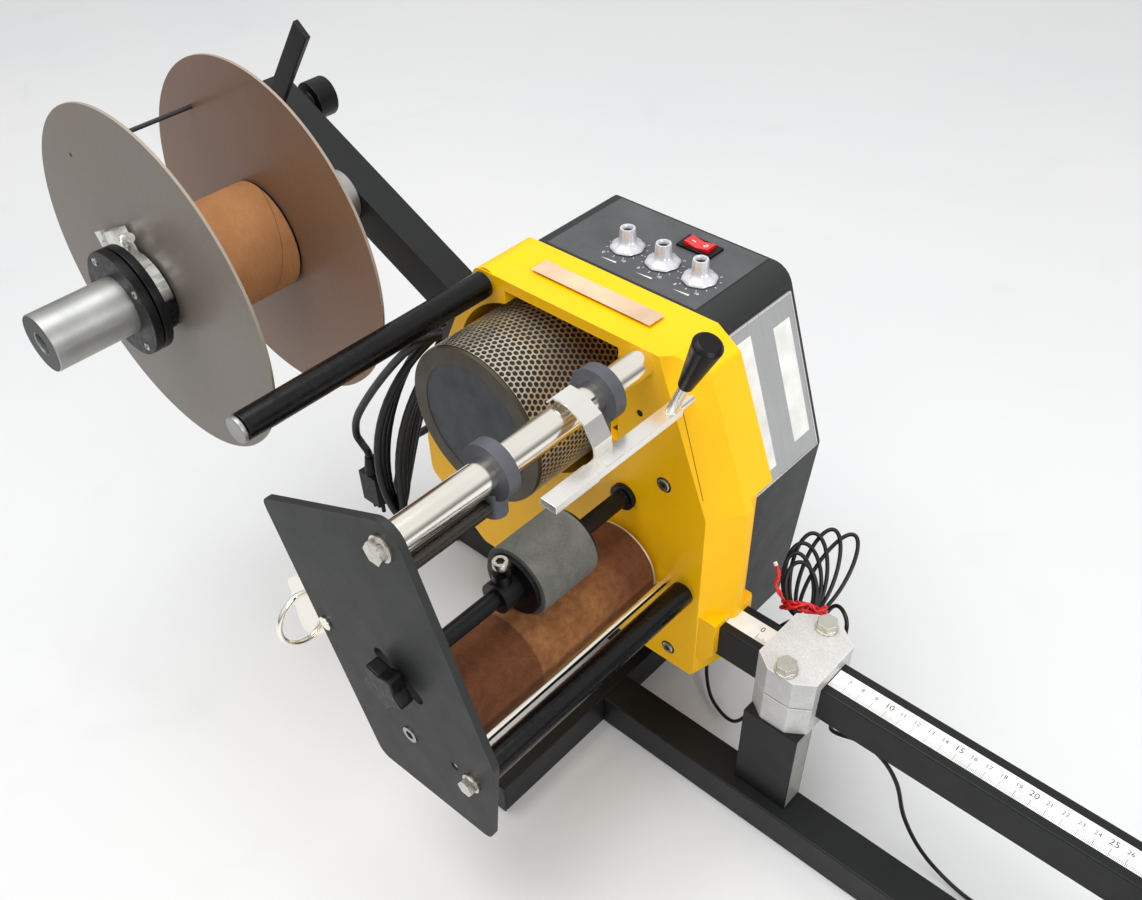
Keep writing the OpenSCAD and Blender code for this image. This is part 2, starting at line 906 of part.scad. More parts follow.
module hub_clamp() {
    y = front_disc_y - disc_t - 6;
    color([0.78, 0.78, 0.78])
        difference() {
            union() {
                rod(hub_r + 2.5, reel_at, y - 4, y + 4);
                translate([reel_at[0], 0, reel_at[1]])
                    rotate([0, -25, 0]) {
                        box([-9, y - 4, hub_r], [9, y + 4, hub_r + 18]);
                        translate([-22, y, hub_r + 11])
                            rotate([0, 90, 0])
                                cylinder(r = 3, h = 40);
                        box([-30, y - 1.2, hub_r + 3], [-20, y + 1.2, hub_r + 19]);
                    }
            }
            rod(hub_r, reel_at, y - 5, y + 5);
        }
}

module reel_disc(y) {
    difference() {
        rod(disc_r, reel_at, y, y + disc_t);
        rod(hub_r, reel_at, y - 1, y + disc_t + 1);
        rod(pin_r, pin_at, y - 1, y + disc_t + 1);
    }
}

module front_disc() {
    color([0.42, 0.37, 0.33])
        reel_disc(front_disc_y - disc_t);
}

module rear_disc() {
    color([0.42, 0.37, 0.33])
        reel_disc(rear_disc_y);
}

module reel_core() {
    color([0.7, 0.5, 0.3])
        difference() {
            rod(core_r, reel_at, front_disc_y, rear_disc_y - core_ring);
            rod(core_r - core_wall, reel_at, front_disc_y - 1, rear_disc_y + 1);
        }
}

module disc_pin() {
    color([0.12, 0.12, 0.12])
        rod(pin_r, pin_at, front_disc_y - disc_t, rear_disc_y + disc_t);
}

module arm_knob() {
    back = arm_y + arm_d;
    color([0.03, 0.03, 0.03]) {
        rod(knob_bolt_r, knob_at, arm_y - 8, back + 12);
        rod(8, knob_at, back + gap, back + 9);
        rod(14, knob_at, back + 9, back + 26);
        rod(7, knob_at, arm_y - 8.5, arm_y - 4.5 - gap);
    }
}

module tension_lever() {
    y = arm_y - gap;
    color([0.04, 0.04, 0.04])
        difference() {
            translate([knob_at[0], 0, knob_at[1]])
                rotate([0, -51.5, 0])
                    along_y(y - 4, y) {
                        circle(9);
                        translate([0, -7])
                            square([100, 14]);
                    }
            rod(knob_bolt_r + run_fit, knob_at, y - 5, y + 1);
        }
}

// Cords

module cable_glands() {
    color([0.03, 0.03, 0.03]) {
        translate([hood_left - mains_gland, gland_y, mains_gland_z])
            rotate([0, 90, 0])
                cylinder(r1 = mains_r + 1.5, r2 = 9, h = mains_gland);
        translate([hood_left, gland_y, mains_gland_z])
            rotate([0, 90, 0])
                cylinder(r = 5, h = 8);
        translate([sensor_gland_x, gland_y, hood_floor - sensor_gland])
            cylinder(r1 = sensor_r + 1.5, r2 = 7, h = sensor_gland);
        translate([sensor_gland_x, gland_y, hood_floor])
            cylinder(r = 4, h = 8);
    }
}

function blend_point(a, b, c, d, t) = 0.5 * (2 * b + (c - a) * t + (2 * a - 5 * b + 4 * c - d) * t * t
    + (3 * b - a - 3 * c + d) * t * t * t);
function smooth(p, n) = concat([for (i = [0:len(p) - 2]) for (k = [0:n - 1])
    blend_point(p[max(i - 1, 0)], p[i], p[i + 1], p[min(i + 2, len(p) - 1)], k / n)], [p[len(p) - 1]]);
function between(list, k) =
    let (i = floor(k / 24), t = k / 24 - i)
    list[i] + (list[min(i + 1, len(list) - 1)] - list[i]) * t;
function coiled(base, up, side, ahead, h, w, lean, bow, count) = [for (k = [0:count - 1])
    let (f = 15 * k, a = between(lean, k), u = between(h, k) / 2 * (1 - cos(f)),
        v = between(w, k) * sin(f) - between(bow, k) * sin(f) * sin(f))
    base + (u * cos(a) - v * sin(a)) * up + (u * sin(a) + v * cos(a)) * side + k / 24 * ahead];
function along(p, i) = unit(p[min(i + 1, len(p) - 1)] - p[max(i - 1, 0)]);
function across(n, t) = unit(n - (n * t) * t);
function normals(p) = [for (i = 0, n = across([0.3, 0.9, 0.2], along(p, 0)); i < len(p);
    i = i + 1, n = across(n, along(p, min(i, len(p) - 1)))) n];
function least_gap(p, r, skip) = min([for (i = [0:2:len(p) - 1]) for (j = [i + skip:1:len(p) - 1])
    norm(p[i] - p[j])]) - 2 * r;

// A round tube of six sides along a list of points
module swept(p, r) {
    n = normals(p);
    m = len(p);
    rings = [for (i = [0:m - 1]) for (k = [0:5])
        p[i] + r * (cos(60 * k) * n[i] + sin(60 * k) * cross(along(p, i), n[i]))];
    sides = [for (i = [0:m - 2]) for (k = [0:5])
        [i * 6 + k, i * 6 + (k + 1) % 6, (i + 1) * 6 + (k + 1) % 6, (i + 1) * 6 + k]];
    faces = concat([for (s = sides) each [[s[2], s[1], s[0]], [s[3], s[2], s[0]]]],
        [[0, 1, 2, 3, 4, 5]], [[for (k = [5:-1:0]) (m - 1) * 6 + k]]);
    polyhedron(rings, faces);
}

hank_side = [0.603, 0.796, 0];
hank_ahead = [0.796, -0.603, 0];
hank_base = [-271.3, 7.7, 60];
mains_start = [[hood_left - mains_gland, gland_y, mains_gland_z], [-224, gland_y, mains_gland_z],
    [-240, 90, 158], [-262, 78, 138], [-281, 62, 107], [-300, 54, 87], [-306, 42, 63], [-307, 32, 37]];
mains_loop = coiled(hank_base, [0, 0, 1], hank_side, 7.7 * hank_ahead, [195, 198, 195, 197], [11, 12, 11, 10],
    [17.3, 17.3, 17.3, 17.3], [10, 14, 20, 26], 85);
plug_at = [-304, 7, 94];
mains_end = [[-227, 15, 245], [-269, 10, 196], [-309, 8, 140], [-319, 8, 113], [-314, 8, 104],
    plug_at + [-2, 0, 6], plug_at];
mains_lead_in = smooth(concat(mains_start, [mains_loop[0], mains_loop[1]]), 4);
mains_lead_out = smooth(concat([mains_loop[83], mains_loop[84]], mains_end), 4);
mains_path = concat([for (i = [0:len(mains_lead_in) - 6]) mains_lead_in[i]], mains_loop,
    [for (i = [5:len(mains_lead_out) - 1]) mains_lead_out[i]]);

module mains_lead() {
    color([0.02, 0.02, 0.02])
        swept(mains_path, mains_r);
}

module mains_plug() {
    color([0.03, 0.03, 0.03])
        translate(plug_at) {
            translate([0, 0, -18])
                cylinder(r1 = 7.5, r2 = mains_r + 1, h = 18);
            box([-11, -7.5, -52], [11, 7.5, -18]);
            for (x = [-6, 6])
                translate([x, 0, -64])
                    cylinder(r = 2, h = 12);
        }
}

coil_up = [-0.324, 0.670, 0.668];
coil_side = [0.900, 0.435, 0];
coil_ahead = [-0.291, 0.602, -0.744];
coil_base = [118.7, 53.4, 152];
sensor_start = [[sensor_gland_x, gland_y, hood_floor - sensor_gland], [sensor_gland_x, gland_y, 44],
    [24, gland_y - 7, 23], [34, gland_y - 26, 9], [56, gland_y - 46, 5], [84, gland_y - 54, 10],
    [99, 47, 50], [100, 47, 105], [107, 44, 140]];
sensor_loop = coiled(coil_base, coil_up, coil_side, 4.3 * coil_ahead, [34, 44, 48, 58, 64, 70, 70],
    [9, 10, 13, 14, 14, 14, 12], [-4, -20, -12, -7, 2, 16, 26], [0, 0, 0, 0, 0, 0, 0], 145);
sensor_end = [[121, 80, 133], [129, 77, 151], [136, 72, 160], [143, 67, 162], [148, 63, 158], [150, 60, 146],
    [152, 59, 122], [160, 52, 104], [165, 40, 95], [168, 28, 96], [176, 19, 104], [198, 15, 117], [216, 13, 115],
    [229, 14, 98], [239, 17, 66], [254, 22, 36], [274, 27, 14], [300, 30, 2.4], [332, 34, 2.2], [364, 46, 2.2],
    [386, 68, 3.5], [392, 92, 6], [392, 104, 6]];
sensor_lead_in = smooth(concat(sensor_start, [sensor_loop[0], sensor_loop[1]]), 4);
sensor_lead_out = smooth(concat([sensor_loop[143], sensor_loop[144]], sensor_end), 4);
sensor_path = concat([for (i = [0:len(sensor_lead_in) - 6]) sensor_lead_in[i]], sensor_loop,
    [for (i = [5:len(sensor_lead_out) - 1]) sensor_lead_out[i]]);

module sensor_lead() {
    color([0.02, 0.02, 0.02])
        swept(sensor_path, sensor_r);
}

module sensor_plug() {
    color([0.1, 0.1, 0.1])
        translate([392, 104, 6.2])
            rotate([-90, 0, 0]) {
                cylinder(r1 = 3.6, r2 = 6, h = 12);
                translate([0, 0, 12])
                    cylinder(r = 6, h = 14);
                translate([0, 0, 26])
                    cylinder(r = 5.2, h = 12);
            }
}

echo(mains_gap = least_gap(mains_path, mains_r, 8), sensor_gap = least_gap(sensor_path, sensor_r, 8));

foot_rails();
cross_feet();
tube_plugs();
upright();
clamp_lower();
clamp_upper();
clamp_bolts();
ruler_bar();
front_casting();
hood();
data_plate();
knob_left();
knob_middle();
knob_right();
switch_bezel();
switch_rocker();
drum_sleeve();
drum_cap();
drum_shaft();
drum_pulley();
drive_belt();
motor();
motor_pulley();
circuit_board();
guide_tube();
front_collar();
rear_collar();
lever_bar();
lever_grip();
hold_down_strip();
pressure_roller();
pressure_hub();
pressure_shaft();
star_knob();
brown_roller();
brown_axle();
chrome_rod();
lower_roller();
lower_axle();
end_plate();
plate_bolts();
latch_bracket();
latch_ring();
upper_roller();
upper_axle();
reel_arm();
mandrel();
reel_hub();
hub_clamp();
front_disc();
rear_disc();
reel_core();
disc_pin();
arm_knob();
tension_lever();
cable_glands();
mains_lead();
mains_plug();
sensor_lead();
sensor_plug();
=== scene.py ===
"""Finishes, cords and fine detail of the labelling machine, in metres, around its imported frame."""
import json
import math

import bmesh
import bpy
from mathutils import Matrix, Vector


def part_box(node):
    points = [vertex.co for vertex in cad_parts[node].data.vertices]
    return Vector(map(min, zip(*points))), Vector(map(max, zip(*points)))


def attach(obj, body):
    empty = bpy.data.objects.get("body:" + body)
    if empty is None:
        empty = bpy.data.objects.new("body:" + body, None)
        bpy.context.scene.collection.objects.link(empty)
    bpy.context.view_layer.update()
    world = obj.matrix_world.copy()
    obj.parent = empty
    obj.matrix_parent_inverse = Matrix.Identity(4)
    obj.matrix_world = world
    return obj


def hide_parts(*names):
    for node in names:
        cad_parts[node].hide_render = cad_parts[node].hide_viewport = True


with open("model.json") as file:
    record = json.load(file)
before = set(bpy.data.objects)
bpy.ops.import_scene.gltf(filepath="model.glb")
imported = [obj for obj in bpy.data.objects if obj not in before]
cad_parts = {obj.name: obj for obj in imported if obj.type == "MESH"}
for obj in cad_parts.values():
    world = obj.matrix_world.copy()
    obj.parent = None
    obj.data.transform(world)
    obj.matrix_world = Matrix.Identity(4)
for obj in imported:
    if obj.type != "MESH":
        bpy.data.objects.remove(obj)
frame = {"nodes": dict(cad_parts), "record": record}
for spare in ("Cube", "Light", "Camera"):
    if spare in bpy.data.objects:
        bpy.data.objects.remove(bpy.data.objects[spare])
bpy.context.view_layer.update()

nodes = frame["nodes"]
scene = bpy.context.scene
scene.view_settings.view_transform = "Standard"
MM = 0.001


def mm(*values):
    """A point or a direction given in millimetres."""
    return Vector([v * MM for v in values])


def round_about_y(node):
    """A node that is round about an axis along y: its axis point at y 0, its radius and its two ends."""
    low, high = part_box(node)
    axis = Vector(((low[0] + high[0]) / 2, 0, (low[2] + high[2]) / 2))
    return axis, (high[0] - low[0]) / 2, low[1], high[1]


# Camera

CAMERA_AT = (0.357871, -0.432339, 0.754404)
CAMERA_RIGHT = (0.741740, 0.670276, -0.023491)
CAMERA_DOWN = (0.466542, -0.540813, -0.699900)
CAMERA_FORWARD = (-0.481831, 0.508185, -0.713854)
CAMERA_LENS = 35.565
CAMERA_SHIFT = 0.0876


def make_camera():
    data = bpy.data.cameras.new("camera")
    data.sensor_fit = "HORIZONTAL"
    data.sensor_width = 36
    data.lens = CAMERA_LENS
    data.shift_y = CAMERA_SHIFT
    data.clip_start = 0.01
    data.clip_end = 50
    camera = bpy.data.objects.new("camera", data)
    scene.collection.objects.link(camera)
    columns = [Vector(CAMERA_RIGHT), -Vector(CAMERA_DOWN), -Vector(CAMERA_FORWARD)]
    camera.matrix_world = Matrix.Translation(CAMERA_AT) @ Matrix(columns).transposed().to_4x4()
    scene.camera = camera


make_camera()


# Materials

def tone(red, green, blue):
    """A colour given as it shows on a screen, from 0 to 255, as the linear values that shaders use."""
    def linear(c):
        return c / 3294.6 if c <= 10 else ((c / 255 + 0.055) / 1.055) ** 2.4

    return (linear(red), linear(green), linear(blue), 1)


def lighter(colour, factor):
    return tuple(min(1.0, c * factor) for c in colour[:3]) + (1,)


class Shader:
    """A procedural material, built node by node on one Principled shader."""

    def __init__(self, name, metal=0.0, coat=0.0, sheen=0.0, specular=0.5):
        self.material = bpy.data.materials.new(name)
        self.material.use_nodes = True
        self.tree = self.material.node_tree
        self.surface = self.tree.nodes["Principled BSDF"]
        self.surface.inputs["Metallic"].default_value = metal
        self.surface.inputs["Coat Weight"].default_value = coat
        self.surface.inputs["Coat Roughness"].default_value = 0.12
        self.surface.inputs["Sheen Weight"].default_value = sheen
        self.surface.inputs["Specular IOR Level"].default_value = specular
        self.place = self.add("TexCoord").outputs["Object"]
        self.normal = None

    def add(self, kind, **settings):
        node = self.tree.nodes.new("ShaderNode" + kind)
        for key, value in settings.items():
            setattr(node, key, value)
        return node

    def feed(self, socket, value):
        if isinstance(value, bpy.types.NodeSocket):
            self.tree.links.new(value, socket)
        else:
            socket.default_value = value

    def stretched(self, scale):
        node = self.add("Mapping")
        self.feed(node.inputs["Vector"], self.place)
        node.inputs["Scale"].default_value = scale
        return node.outputs["Vector"]

    def noise(self, scale, detail=3.0, stretch=None, distortion=0.0):
        node = self.add("TexNoise")
        self.feed(node.inputs["Vector"], self.stretched(stretch) if stretch else self.place)
        node.inputs["Scale"].default_value = scale
        node.inputs["Detail"].default_value = detail
        node.inputs["Distortion"].default_value = distortion
        return node.outputs["Fac"]

    def sum(self, operation, first, second=0.0):
        node = self.add("Math", operation=operation)
        self.feed(node.inputs[0], first)
        self.feed(node.inputs[1], second)
        return node.outputs[0]

    def between(self, value, low, high, start=0.0, end=1.0):
        node = self.add("MapRange")
        self.feed(node.inputs["Value"], value)
        node.inputs["From Min"].default_value = low
        node.inputs["From Max"].default_value = high
        node.inputs["To Min"].default_value = start
        node.inputs["To Max"].default_value = end
        return node.outputs["Result"]

    def mix(self, factor, first, second):
        node = self.add("Mix", data_type="RGBA")
        self.feed(node.inputs[0], factor)
        self.feed(node.inputs[6], first)
        self.feed(node.inputs[7], second)
        return node.outputs[2]

    def along(self, axis):
        node = self.add("SeparateXYZ")
        self.feed(node.inputs[0], self.place)
        return node.outputs[axis]

    def radius(self, centre):
        """Distance from an axis that runs along y."""
        x = self.sum("SUBTRACT", self.along("X"), centre[0])
        z = self.sum("SUBTRACT", self.along("Z"), centre[2])
        return self.sum("SQRT", self.sum("ADD", self.sum("MULTIPLY", x, x), self.sum("MULTIPLY", z, z)))

    def edges(self, width):
        """About 1 on an edge and 0 on a flat face."""
        bevel = self.add("Bevel", samples=4)
        bevel.inputs["Radius"].default_value = width
        dot = self.add("VectorMath", operation="DOT_PRODUCT")
        self.feed(dot.inputs[0], bevel.outputs["Normal"])
        self.feed(dot.inputs[1], self.add("NewGeometry").outputs["Normal"])
        return self.between(dot.outputs["Value"], 0.985, 0.86)

    def bump(self, height, strength, depth):
        node = self.add("Bump")
        node.inputs["Strength"].default_value = strength
        node.inputs["Distance"].default_value = depth
        self.feed(node.inputs["Height"], height)
        if self.normal:
            self.feed(node.inputs["Normal"], self.normal)
        self.normal = node.outputs["Normal"]
        self.feed(self.surface.inputs["Normal"], self.normal)

    def colour(self, value):
        self.feed(self.surface.inputs["Base Color"], value)

    def rough(self, value):
        self.feed(self.surface.inputs["Roughness"], value)


def painted(name, colour, rough, grain, depth, wear_and_edge_highlight=0.0, worn=None, coat=0.0, specular=0.5, cloud=0.03):
    """Paint on metal: slow drifts of tone, a fine skin, and scuffed edges lightened, partly as rubbed wear
    and partly as a painted edge highlight.
    """
    shader = Shader(name, coat=coat, specular=specular)
    drift = shader.noise(16, 4)
    skin = shader.noise(grain, 3)
    base = shader.mix(shader.between(drift, 0.3, 0.7), lighter(colour, 1 - cloud), lighter(colour, 1 + cloud))
    base = shader.mix(shader.between(skin, 0.35, 0.75, 0.0, 0.3), base, lighter(colour, 1.15))
    # Lighter scuffed edges: partly rubbed wear, partly a painted edge highlight.
    if wear_and_edge_highlight:
        scuffs = shader.between(shader.noise(180, 5), 0.45, 0.62)
        rub = shader.sum("MULTIPLY", shader.sum("MULTIPLY", shader.edges(0.0012), scuffs), wear_and_edge_highlight)
        base = shader.mix(rub, base, worn or lighter(colour, 1.7))
    shader.colour(base)
    shader.rough(shader.between(shader.noise(60, 4), 0.3, 0.7, rough - 0.03, rough + 0.04))
    shader.bump(skin, 0.5, depth)
    return shader.material


def moulded(name, colour, rough, coat=0.0, specular=0.5):
    """Plastic or rubber with a faint grain and handling marks."""
    shader = Shader(name, coat=coat, specular=specular)
    drift = shader.noise(40, 4)
    shader.colour(shader.mix(shader.between(drift, 0.3, 0.7), lighter(colour, 0.85), lighter(colour, 1.15)))
    shader.rough(shader.between(shader.noise(220, 3), 0.3, 0.7, rough - 0.07, rough + 0.09))
    shader.bump(shader.noise(1900, 2), 0.25, 0.00003)
    return shader.material


def metal(name, colour, rough, stretch, depth=0.00001, metallic=1.0, cloud=0.12, streak=0.4):
    """Bare metal with its working marks drawn out along one direction."""
    shader = Shader(name, metal=metallic)
    marks = shader.noise(1.0, 4, stretch=stretch)
    haze = shader.noise(25, 4)
    pale, dark = lighter(colour, 1 + cloud / 2), lighter(colour, 1 - cloud)
    base = shader.mix(shader.between(haze, 0.35, 0.7), dark, pale)
    shader.colour(shader.mix(shader.between(marks, 0.35, 0.75, 0.0, streak), base, lighter(colour, 0.8)))
    shader.rough(shader.between(marks, 0.3, 0.7, rough * (1 - 0.6 * streak), rough * (1 + 0.9 * streak)))
    shader.bump(marks, 0.4, depth)
    return shader.material


def cast_metal():
    """Bare sand casting: pale, with a fine grain and a painted highlight along its edges."""
    shader = Shader("cast_clamp", metal=0.35)
    grain = shader.noise(1100, 4)
    patch = shader.noise(55, 4)
    base = shader.mix(shader.between(grain, 0.3, 0.7), tone(192, 192, 190), tone(219, 218, 216))
    base = shader.mix(shader.between(patch, 0.4, 0.75, 0.0, 0.4), base, tone(176, 177, 177))
    # Edges mixed towards near white: painted highlight.
    shader.colour(shader.mix(shader.sum("MULTIPLY", shader.edges(0.0015), 0.7), base, tone(240, 240, 238)))
    shader.rough(shader.between(patch, 0.3, 0.7, 0.38, 0.55))
    shader.bump(grain, 0.4, 0.00012)
    return shader.material


def drum_end():
    """The cap's rim in an olive metal tone round a slate disc, with fine turning lines."""
    axis, radius, _, _ = round_about_y("drum_cap")
    shader = Shader("drum_end", metal=0.25)
    out = shader.radius(axis)
    lines = shader.noise(1.0, 2, stretch=(90, 90, 90))
    turned = shader.sum("SINE", shader.sum("MULTIPLY", out, 9000))
    slate = shader.mix(lines, tone(47, 50, 53), tone(56, 59, 62))
    olive = shader.mix(lines, tone(62, 55, 40), tone(74, 66, 49))
    ring = shader.between(out, radius - 12.2 * MM, radius - 11.8 * MM)
    shader.colour(shader.mix(ring, slate, olive))
    shader.rough(shader.between(shader.noise(90, 4), 0.3, 0.7, 0.4, 0.58))
    shader.bump(turned, 0.12, 0.00002)
    return shader.material


def reel_board():
    """Smooth brown-grey board: mottled faces, darker handling marks and a painted highlight along its rim."""
    axis, radius, _, _ = round_about_y("front_disc")
    shader = Shader("disc_board", coat=0.12)
    fibre = shader.noise(900, 4, stretch=(1, 0.4, 0.35))
    cloud = shader.noise(9, 5)
    grey = shader.mix(shader.between(cloud, 0.3, 0.7), tone(112, 105, 95), tone(124, 115, 104))
    warm = shader.mix(shader.between(cloud, 0.3, 0.7), tone(122, 90, 68), tone(142, 108, 82))
    base = shader.mix(shader.between(shader.along("Y"), -0.12, -0.08), grey, warm)
    base = shader.mix(shader.between(fibre, 0.35, 0.75, 0.0, 0.3), base, tone(98, 84, 72))
    # A pale band at the disc's rim: painted highlight.
    edge_highlight = shader.between(shader.radius(axis), radius - 0.5 * MM, radius - 0.15 * MM)
    shader.colour(shader.mix(edge_highlight, base, tone(150, 137, 122)))
    shader.rough(shader.between(cloud, 0.3, 0.7, 0.4, 0.52))
    shader.bump(fibre, 0.3, 0.00004)
    return shader.material


def core_card():
    """Wound card: soft fibres and the joint of its outer ply as a spiral."""
    axis, _, _, _ = round_about_y("reel_core")
    shader = Shader("core_card", specular=0.2)
    fibre = shader.noise(700, 5, stretch=(0.35, 1, 0.35))
    cloud = shader.noise(45, 5)
    base = shader.mix(shader.between(cloud, 0.3, 0.7), tone(150, 103, 64), tone(166, 117, 76))
    base = shader.mix(shader.between(fibre, 0.4, 0.75, 0.0, 0.35), base, tone(134, 90, 56))
    x = shader.sum("SUBTRACT", shader.along("X"), axis[0])
    z = shader.sum("SUBTRACT", shader.along("Z"), axis[2])
    turn = shader.sum("DIVIDE", shader.sum("ARCTAN2", x, z), 2 * math.pi)
    ply = shader.sum("FRACT", shader.sum("ADD", turn, shader.sum("DIVIDE", shader.along("Y"), 62 * MM)))
    shader.colour(shader.mix(shader.between(ply, 0.012, 0.004), base, tone(104, 70, 44)))
    shader.rough(shader.between(cloud, 0.3, 0.7, 0.75, 0.9))
    shader.bump(fibre, 0.4, 0.0001)
    return shader.material


def flock():
    """Short brown pile, rubbed paler in the middle of its length, with one joint across it and golden specks
    of painted glint.
    """
    shader = Shader("brown_flock", sheen=0.3, specular=0.15)
    shader.surface.inputs["Sheen Tint"].default_value = tone(214, 160, 112)
    pile = shader.noise(2300, 3)
    nap = shader.noise(170, 4, distortion=0.4)
    drift = shader.noise(75, 4)
    base = shader.mix(shader.between(nap, 0.32, 0.7), tone(88, 50, 31), tone(106, 64, 41))
    middle = shader.between(shader.along("Y"), -0.119, -0.1175)
    worn = shader.sum("MULTIPLY", middle, shader.between(shader.along("Y"), -0.028, -0.06, 0.0, 0.8))
    worn = shader.sum("MULTIPLY", worn, shader.between(drift, 0.2, 0.75, 0.45, 1.0))
    rubbed = shader.mix(shader.between(nap, 0.3, 0.7), tone(146, 97, 56), tone(180, 128, 80))
    base = shader.mix(worn, base, rubbed)
    # Golden specks across the pile: painted glints.
    base = shader.mix(shader.between(shader.noise(3100, 2), 0.58, 0.75, 0.0, 0.4), base, tone(196, 146, 96))
    shader.colour(shader.mix(shader.between(pile, 0.35, 0.7, 0.0, 0.45), base, tone(62, 35, 22)))
    shader.rough(shader.between(nap, 0.3, 0.7, 0.85, 0.97))
    shader.bump(pile, 0.6, 0.0002)
    shader.bump(nap, 0.3, 0.0003)
    return shader.material


def ground_rubber():
    """Grey rubber, ground to size: fine speckle with a few scuffs."""
    shader = Shader("grey_rubber", specular=0.3)
    speckle = shader.noise(1300, 4)
    scuff = shader.noise(55, 6, distortion=1.2)
    base = shader.mix(shader.between(scuff, 0.35, 0.7), tone(82, 83, 79), tone(104, 104, 98))
    shader.colour(shader.mix(shader.between(speckle, 0.4, 0.7, 0.0, 0.45), base, tone(122, 122, 115)))
    shader.rough(shader.between(scuff, 0.3, 0.7, 0.72, 0.9))
    shader.bump(speckle, 0.6, 0.00012)
    return shader.material


def band_steel():
    """A worm-drive band: bright at its screw, with painted shade darkening its lower part."""
    axis, _, _, _ = round_about_y("reel_hub")
    shader = Shader("band_steel", metal=0.8)
    haze = shader.noise(90, 4)
    bright = shader.mix(shader.between(haze, 0.3, 0.7), tone(206, 205, 200), tone(232, 231, 226))
    # Near black from a little above the axis downward: painted shade on the band's lower part.
    low = shader.between(shader.along("Z"), axis[2] + 0.014, axis[2] + 0.004)
    shader.colour(shader.mix(low, bright, tone(30, 30, 31)))
    shader.rough(shader.between(haze, 0.3, 0.7, 0.24, 0.4))
    return shader.material


def plate_fixings():
    """Zinc bolt heads outside the end plate, and the stud inside it in a darker tone."""
    shader = Shader("plate_fixings", metal=1.0)
    haze = shader.noise(300, 4)
    zinc = shader.mix(shader.between(haze, 0.3, 0.7), tone(186, 183, 172), tone(216, 213, 203))
    inside = shader.between(shader.along("Y"), -0.202, -0.2)
    shader.colour(shader.mix(inside, zinc, tone(74, 71, 66)))
    shader.rough(shader.between(haze, 0.3, 0.7, 0.24, 0.36))
    shader.bump(haze, 0.3, 0.00003)
    return shader.material


def turned_mandrel():
    """Turned aluminium with a dark line round its end face."""
    axis, radius, front, _ = round_about_y("mandrel")
    shader = Shader("aluminium", metal=0.85)
    lathe_marks = shader.noise(1.0, 3, stretch=(6, 2600, 6))
    haze = shader.noise(30, 4)
    base = shader.mix(shader.between(haze, 0.3, 0.7), tone(150, 151, 149), tone(176, 177, 173))
    out = shader.radius(axis)
    groove = shader.sum("MULTIPLY", shader.between(out, radius - 2.4 * MM, radius - 2.0 * MM),
                        shader.between(out, radius - 1.0 * MM, radius - 1.4 * MM))
    ends = shader.between(shader.along("Y"), front + 0.2 * MM, front + 0.05 * MM)
    base = shader.mix(ends, base, tone(66, 67, 67))
    shader.colour(shader.mix(shader.sum("MULTIPLY", groove, ends), base, tone(52, 52, 52)))
    shader.rough(shader.between(lathe_marks, 0.3, 0.7, 0.32, 0.5))
    shader.bump(lathe_marks, 0.3, 0.00002)
    return shader.material


ALL_WAYS = (300, 300, 300)
ALONG_Y = (900, 12, 900)
AROUND_Y = (8, 1800, 8)

looks = {
    "stand_black": painted("stand_black", tone(20, 21, 22), 0.42, 1500, 0.00006, 0.3, specular=0.3),
    "plug_black": moulded("plug_black", tone(30, 30, 31), 0.5),
    "cast_clamp": cast_metal(),
    "zinc_bolts": metal("zinc_bolts", tone(206, 203, 192), 0.3, ALL_WAYS, 0.00003),
    "yellow_paint": painted("yellow_paint", tone(254, 190, 0), 0.4, 700, 0.00004, 0.35, tone(255, 222, 70),
                            specular=0.3),
    "charcoal_paint": painted("charcoal_paint", tone(43, 44, 44), 0.5, 1700, 0.00007, 0.3, specular=0.25),
    "plate_grey": metal("plate_grey", tone(166, 168, 168), 0.4, (40, 900, 40), 0.00001, 0.2, 0.05),
    "knob_grey": metal("knob_grey", tone(214, 214, 220), 0.28, (700, 700, 20), 0.00001, 0.3, 0.04),
    "black_plastic": moulded("black_plastic", tone(8, 8, 9), 0.38, 0.0, 0.26),
    "red_plastic": moulded("red_plastic", tone(206, 22, 26), 0.22, 0.4),
    "mesh_metal": metal("mesh_dark", tone(34, 29, 24), 0.7, ALL_WAYS, 0.00005, 0.1),
    "drum_end": drum_end(),
    "steel": metal("steel", tone(176, 175, 172), 0.32, AROUND_Y),
    "aluminium": turned_mandrel(),
    "chrome": metal("chrome", tone(250, 246, 235), 0.15, ALONG_Y, 0.000001, 1.0, 0.04, 0.12),
    "belt_rubber": moulded("belt_rubber", tone(34, 34, 34), 0.7),
    "motor_grey": painted("motor_grey", tone(84, 86, 88), 0.5, 900, 0.00004),
    "board_green": moulded("board_green", tone(24, 88, 44), 0.4),
    "collar_grey": moulded("collar_grey", tone(76, 78, 84), 0.45),
    "grey_rubber": ground_rubber(),
    "brown_flock": flock(),
    "roller_black": moulded("roller_black", tone(5, 5, 5), 0.24, 0.0, 0.3),
    "disc_board": reel_board(),
    "core_card": core_card(),
    "cord_black": moulded("cord_black", tone(17, 17, 18), 0.42, 0.0, 0.4),
}
